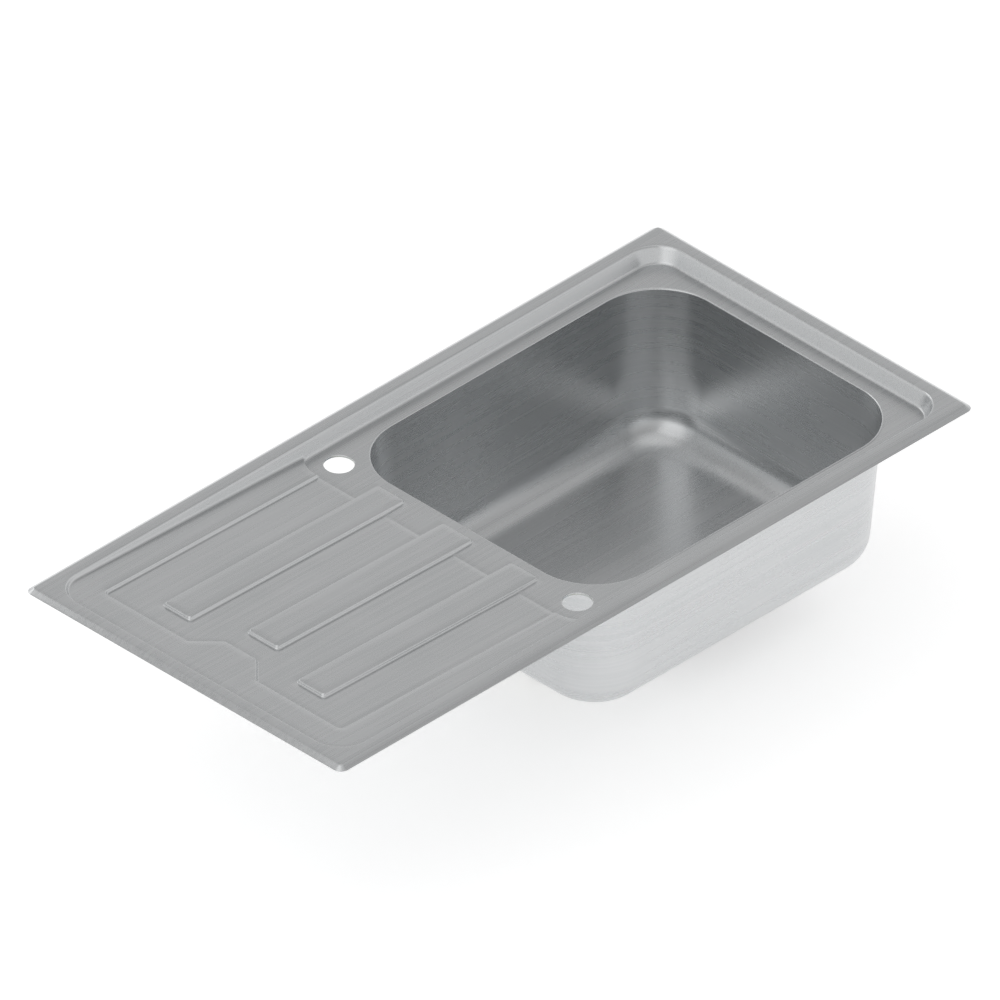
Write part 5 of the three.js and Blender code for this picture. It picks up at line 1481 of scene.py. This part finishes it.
def overflow_elbow():
    """The moulded elbow in the plate's frame, without its spigot, with gussets behind the flange."""
    face, back, body, flange = ELBOW_FACE, ELBOW_BACK, ELBOW_RADIUS, ELBOW_FLANGE
    under = face - BODY_WALL
    shell = turned([
        (0.2, back, 0), (body, back, 4), (body, under, 1.2), (flange, under, 0.8), (flange, face, 0.6),
        (body - ELBOW_WALL, face, 0.4), (body - ELBOW_WALL, back + ELBOW_WALL, 3),
        (0.2, back + ELBOW_WALL, 0),
    ], loop=False)
    boss = plain_ring(SCREW_HOLE, BOSS_RADIUS, back + 1, under, (0, 0, 0.6, 0), 32)
    band = plain_ring(body - 0.5, body + 0.5, back + 8, back + 10, (0, 0.3, 0.3, 0))
    return joined(shell, boss, band, *gussets(8, body, flange, under, ELBOW_GUSSET_DROP, 0.4))


def elbow_spigot():
    """The spigot that points down into the hose, in the sink's frame but about the hose's axis."""
    top, end, collar = OVERFLOW_LEVEL - SPIGOT_DROP, HOSE_TOP + FIT_GAP, SPIGOT_RADIUS + SPIGOT_SHOULDER
    return turned([
        (SPIGOT_BORE, end, 0.4), (SPIGOT_RADIUS, end, 0.6), (SPIGOT_RADIUS, top - 6, 0), (collar, top - 3, 2),
        (collar, top + 2, 0), (SPIGOT_BORE, top + 2, 0),
    ], segments=48)


def hose_frame(run):
    """Where the hose's centre line is at a run along it, and the direction across it in the plane
    of its bend."""
    past = run - HOSE_STRAIGHT - HOSE_QUARTER
    if run < HOSE_STRAIGHT:
        return np.array((HOSE_X, 0, HOSE_TOP - run)), np.array((1.0, 0, 0))
    if past > 0:
        return np.array((HOSE_X + HOSE_BEND + past, 0, HOSE_LEVEL)), np.array((0, 0, 1.0))
    angle = math.pi + (run - HOSE_STRAIGHT) / HOSE_BEND
    outwards = np.array((math.cos(angle), 0, math.sin(angle)))
    return np.array((HOSE_X + HOSE_BEND, 0, HOSE_LEVEL + HOSE_BEND)) + HOSE_BEND * outwards, -outwards


def ribbed_hose():
    """The hose's ribbed outside and smooth bore, swept along its centre line."""
    length = HOSE_STRAIGHT + HOSE_QUARTER + waste_x - INLET_END - FIT_GAP - HOSE_X - HOSE_BEND
    ribs = round(length / HOSE_PITCH)
    steps, segments, crest = 10, 40, 1.35
    ring = circle((0, 0), 1, segments)

    def section(run, radius):
        centre, across = hose_frame(run)
        return centre + radius * (np.outer(ring[:, 0], (0, 1, 0)) + np.outer(ring[:, 1], across))

    outside = []
    for i in range(ribs * steps + 1):
        wave = min(1.0, crest * (0.5 - 0.5 * math.cos(2 * math.pi * i / steps)))
        outside.append(section(length * i / (ribs * steps), HOSE_GROOVE + (HOSE_RADIUS - HOSE_GROOVE) * wave))
    inside = [section(length * (1 - i / ribs), HOSE_BORE) for i in range(ribs + 1)]
    return skin(outside + inside, loop=True)


def hose_nut():
    """A nut about Z with a ribbed grip between two plain collars."""
    collar = NUT_RADIUS - NUT_CHAMFER
    half = [
        (HOSE_RADIUS + FIT_GAP, NUT_HALF, 0), (collar - NUT_CHAMFER, NUT_HALF, 0),
        (collar, NUT_HALF - NUT_CHAMFER, 0), (collar, NUT_HALF - NUT_COLLAR, 0),
        (NUT_RADIUS - NUT_RIB, NUT_HALF - NUT_COLLAR - NUT_RIB, NUT_RIB),
    ]
    whole = [(radius, -level, wave) for radius, level, wave in half] + half[::-1]
    return skin([level_ring(radius, level, 240, wave, NUT_RIBS) for radius, level, wave in whole], loop=True)


hose_plastic = moulded_plastic("grey_polypropylene", "#82878B", "#979CA0")
plate_holes = hole_ring(PLATE_HOLES, PLATE_CIRCLE, PLATE_HOLE_SIZE, 32)
face_plate = pierced(PLATE_LINES, *plate_holes, overflow_plate_height, PLATE_SHEET)
clamp = joined(driver_head(OVERFLOW_SEAT), threaded(OVERFLOW_SCREW_END, OVERFLOW_SEAT + OVERLAP))
gasket = plain_ring(OVERFLOW_HOLE, ELBOW_FLANGE, GASKET_BACK, GASKET_FACE, (0.6, 1.2, 1.2, 0.6))
wall_place = Matrix.Translation(overflow_matrix.translation * MM) @ overflow_matrix.to_3x3().to_4x4()
for name, form, material, slot, node in (
    ("overflow_face", face_plate, polished, "polished_fitting", "overflow_plate"),
    ("overflow_clamp_screw", clamp, fastener, "stainless_screw", "overflow_screw"),
    ("overflow_gasket_ring", gasket, rubber, "rubber", "overflow_gasket"),
):
    piece = add_piece(name, *form, material)
    piece.matrix_world = wall_place
    dress(piece, slot, node)
spigot = moved(elbow_spigot(), Matrix.Translation((HOSE_X, 0, 0)))
elbow = joined(moved(overflow_elbow(), overflow_matrix), spigot)
dress(add_piece("overflow_elbow_moulding", *elbow, white_plastic), "white_plastic", "overflow_elbow")
dress(add_piece("overflow_hose_ribs", *ribbed_hose(), hose_plastic), "ribbed_hose", "overflow_hose")
for node, place, turn in (
    ("hose_nut_top", (HOSE_X, 0, HOSE_TOP), 0),
    ("hose_nut_bottom", (waste_x - INLET_END, 0, HOSE_LEVEL), math.pi / 2),
):
    nut = add_piece(node + "_grip", *hose_nut(), white_plastic, at=place)
    nut.rotation_euler = (0, turn, 0)
    dress(nut, "white_plastic", node)

# ---- Finish ---------------------------------------------------------------------------------------
# The view layer is brought up to date, so that every piece stands where it was set.

bpy.context.view_layer.update()
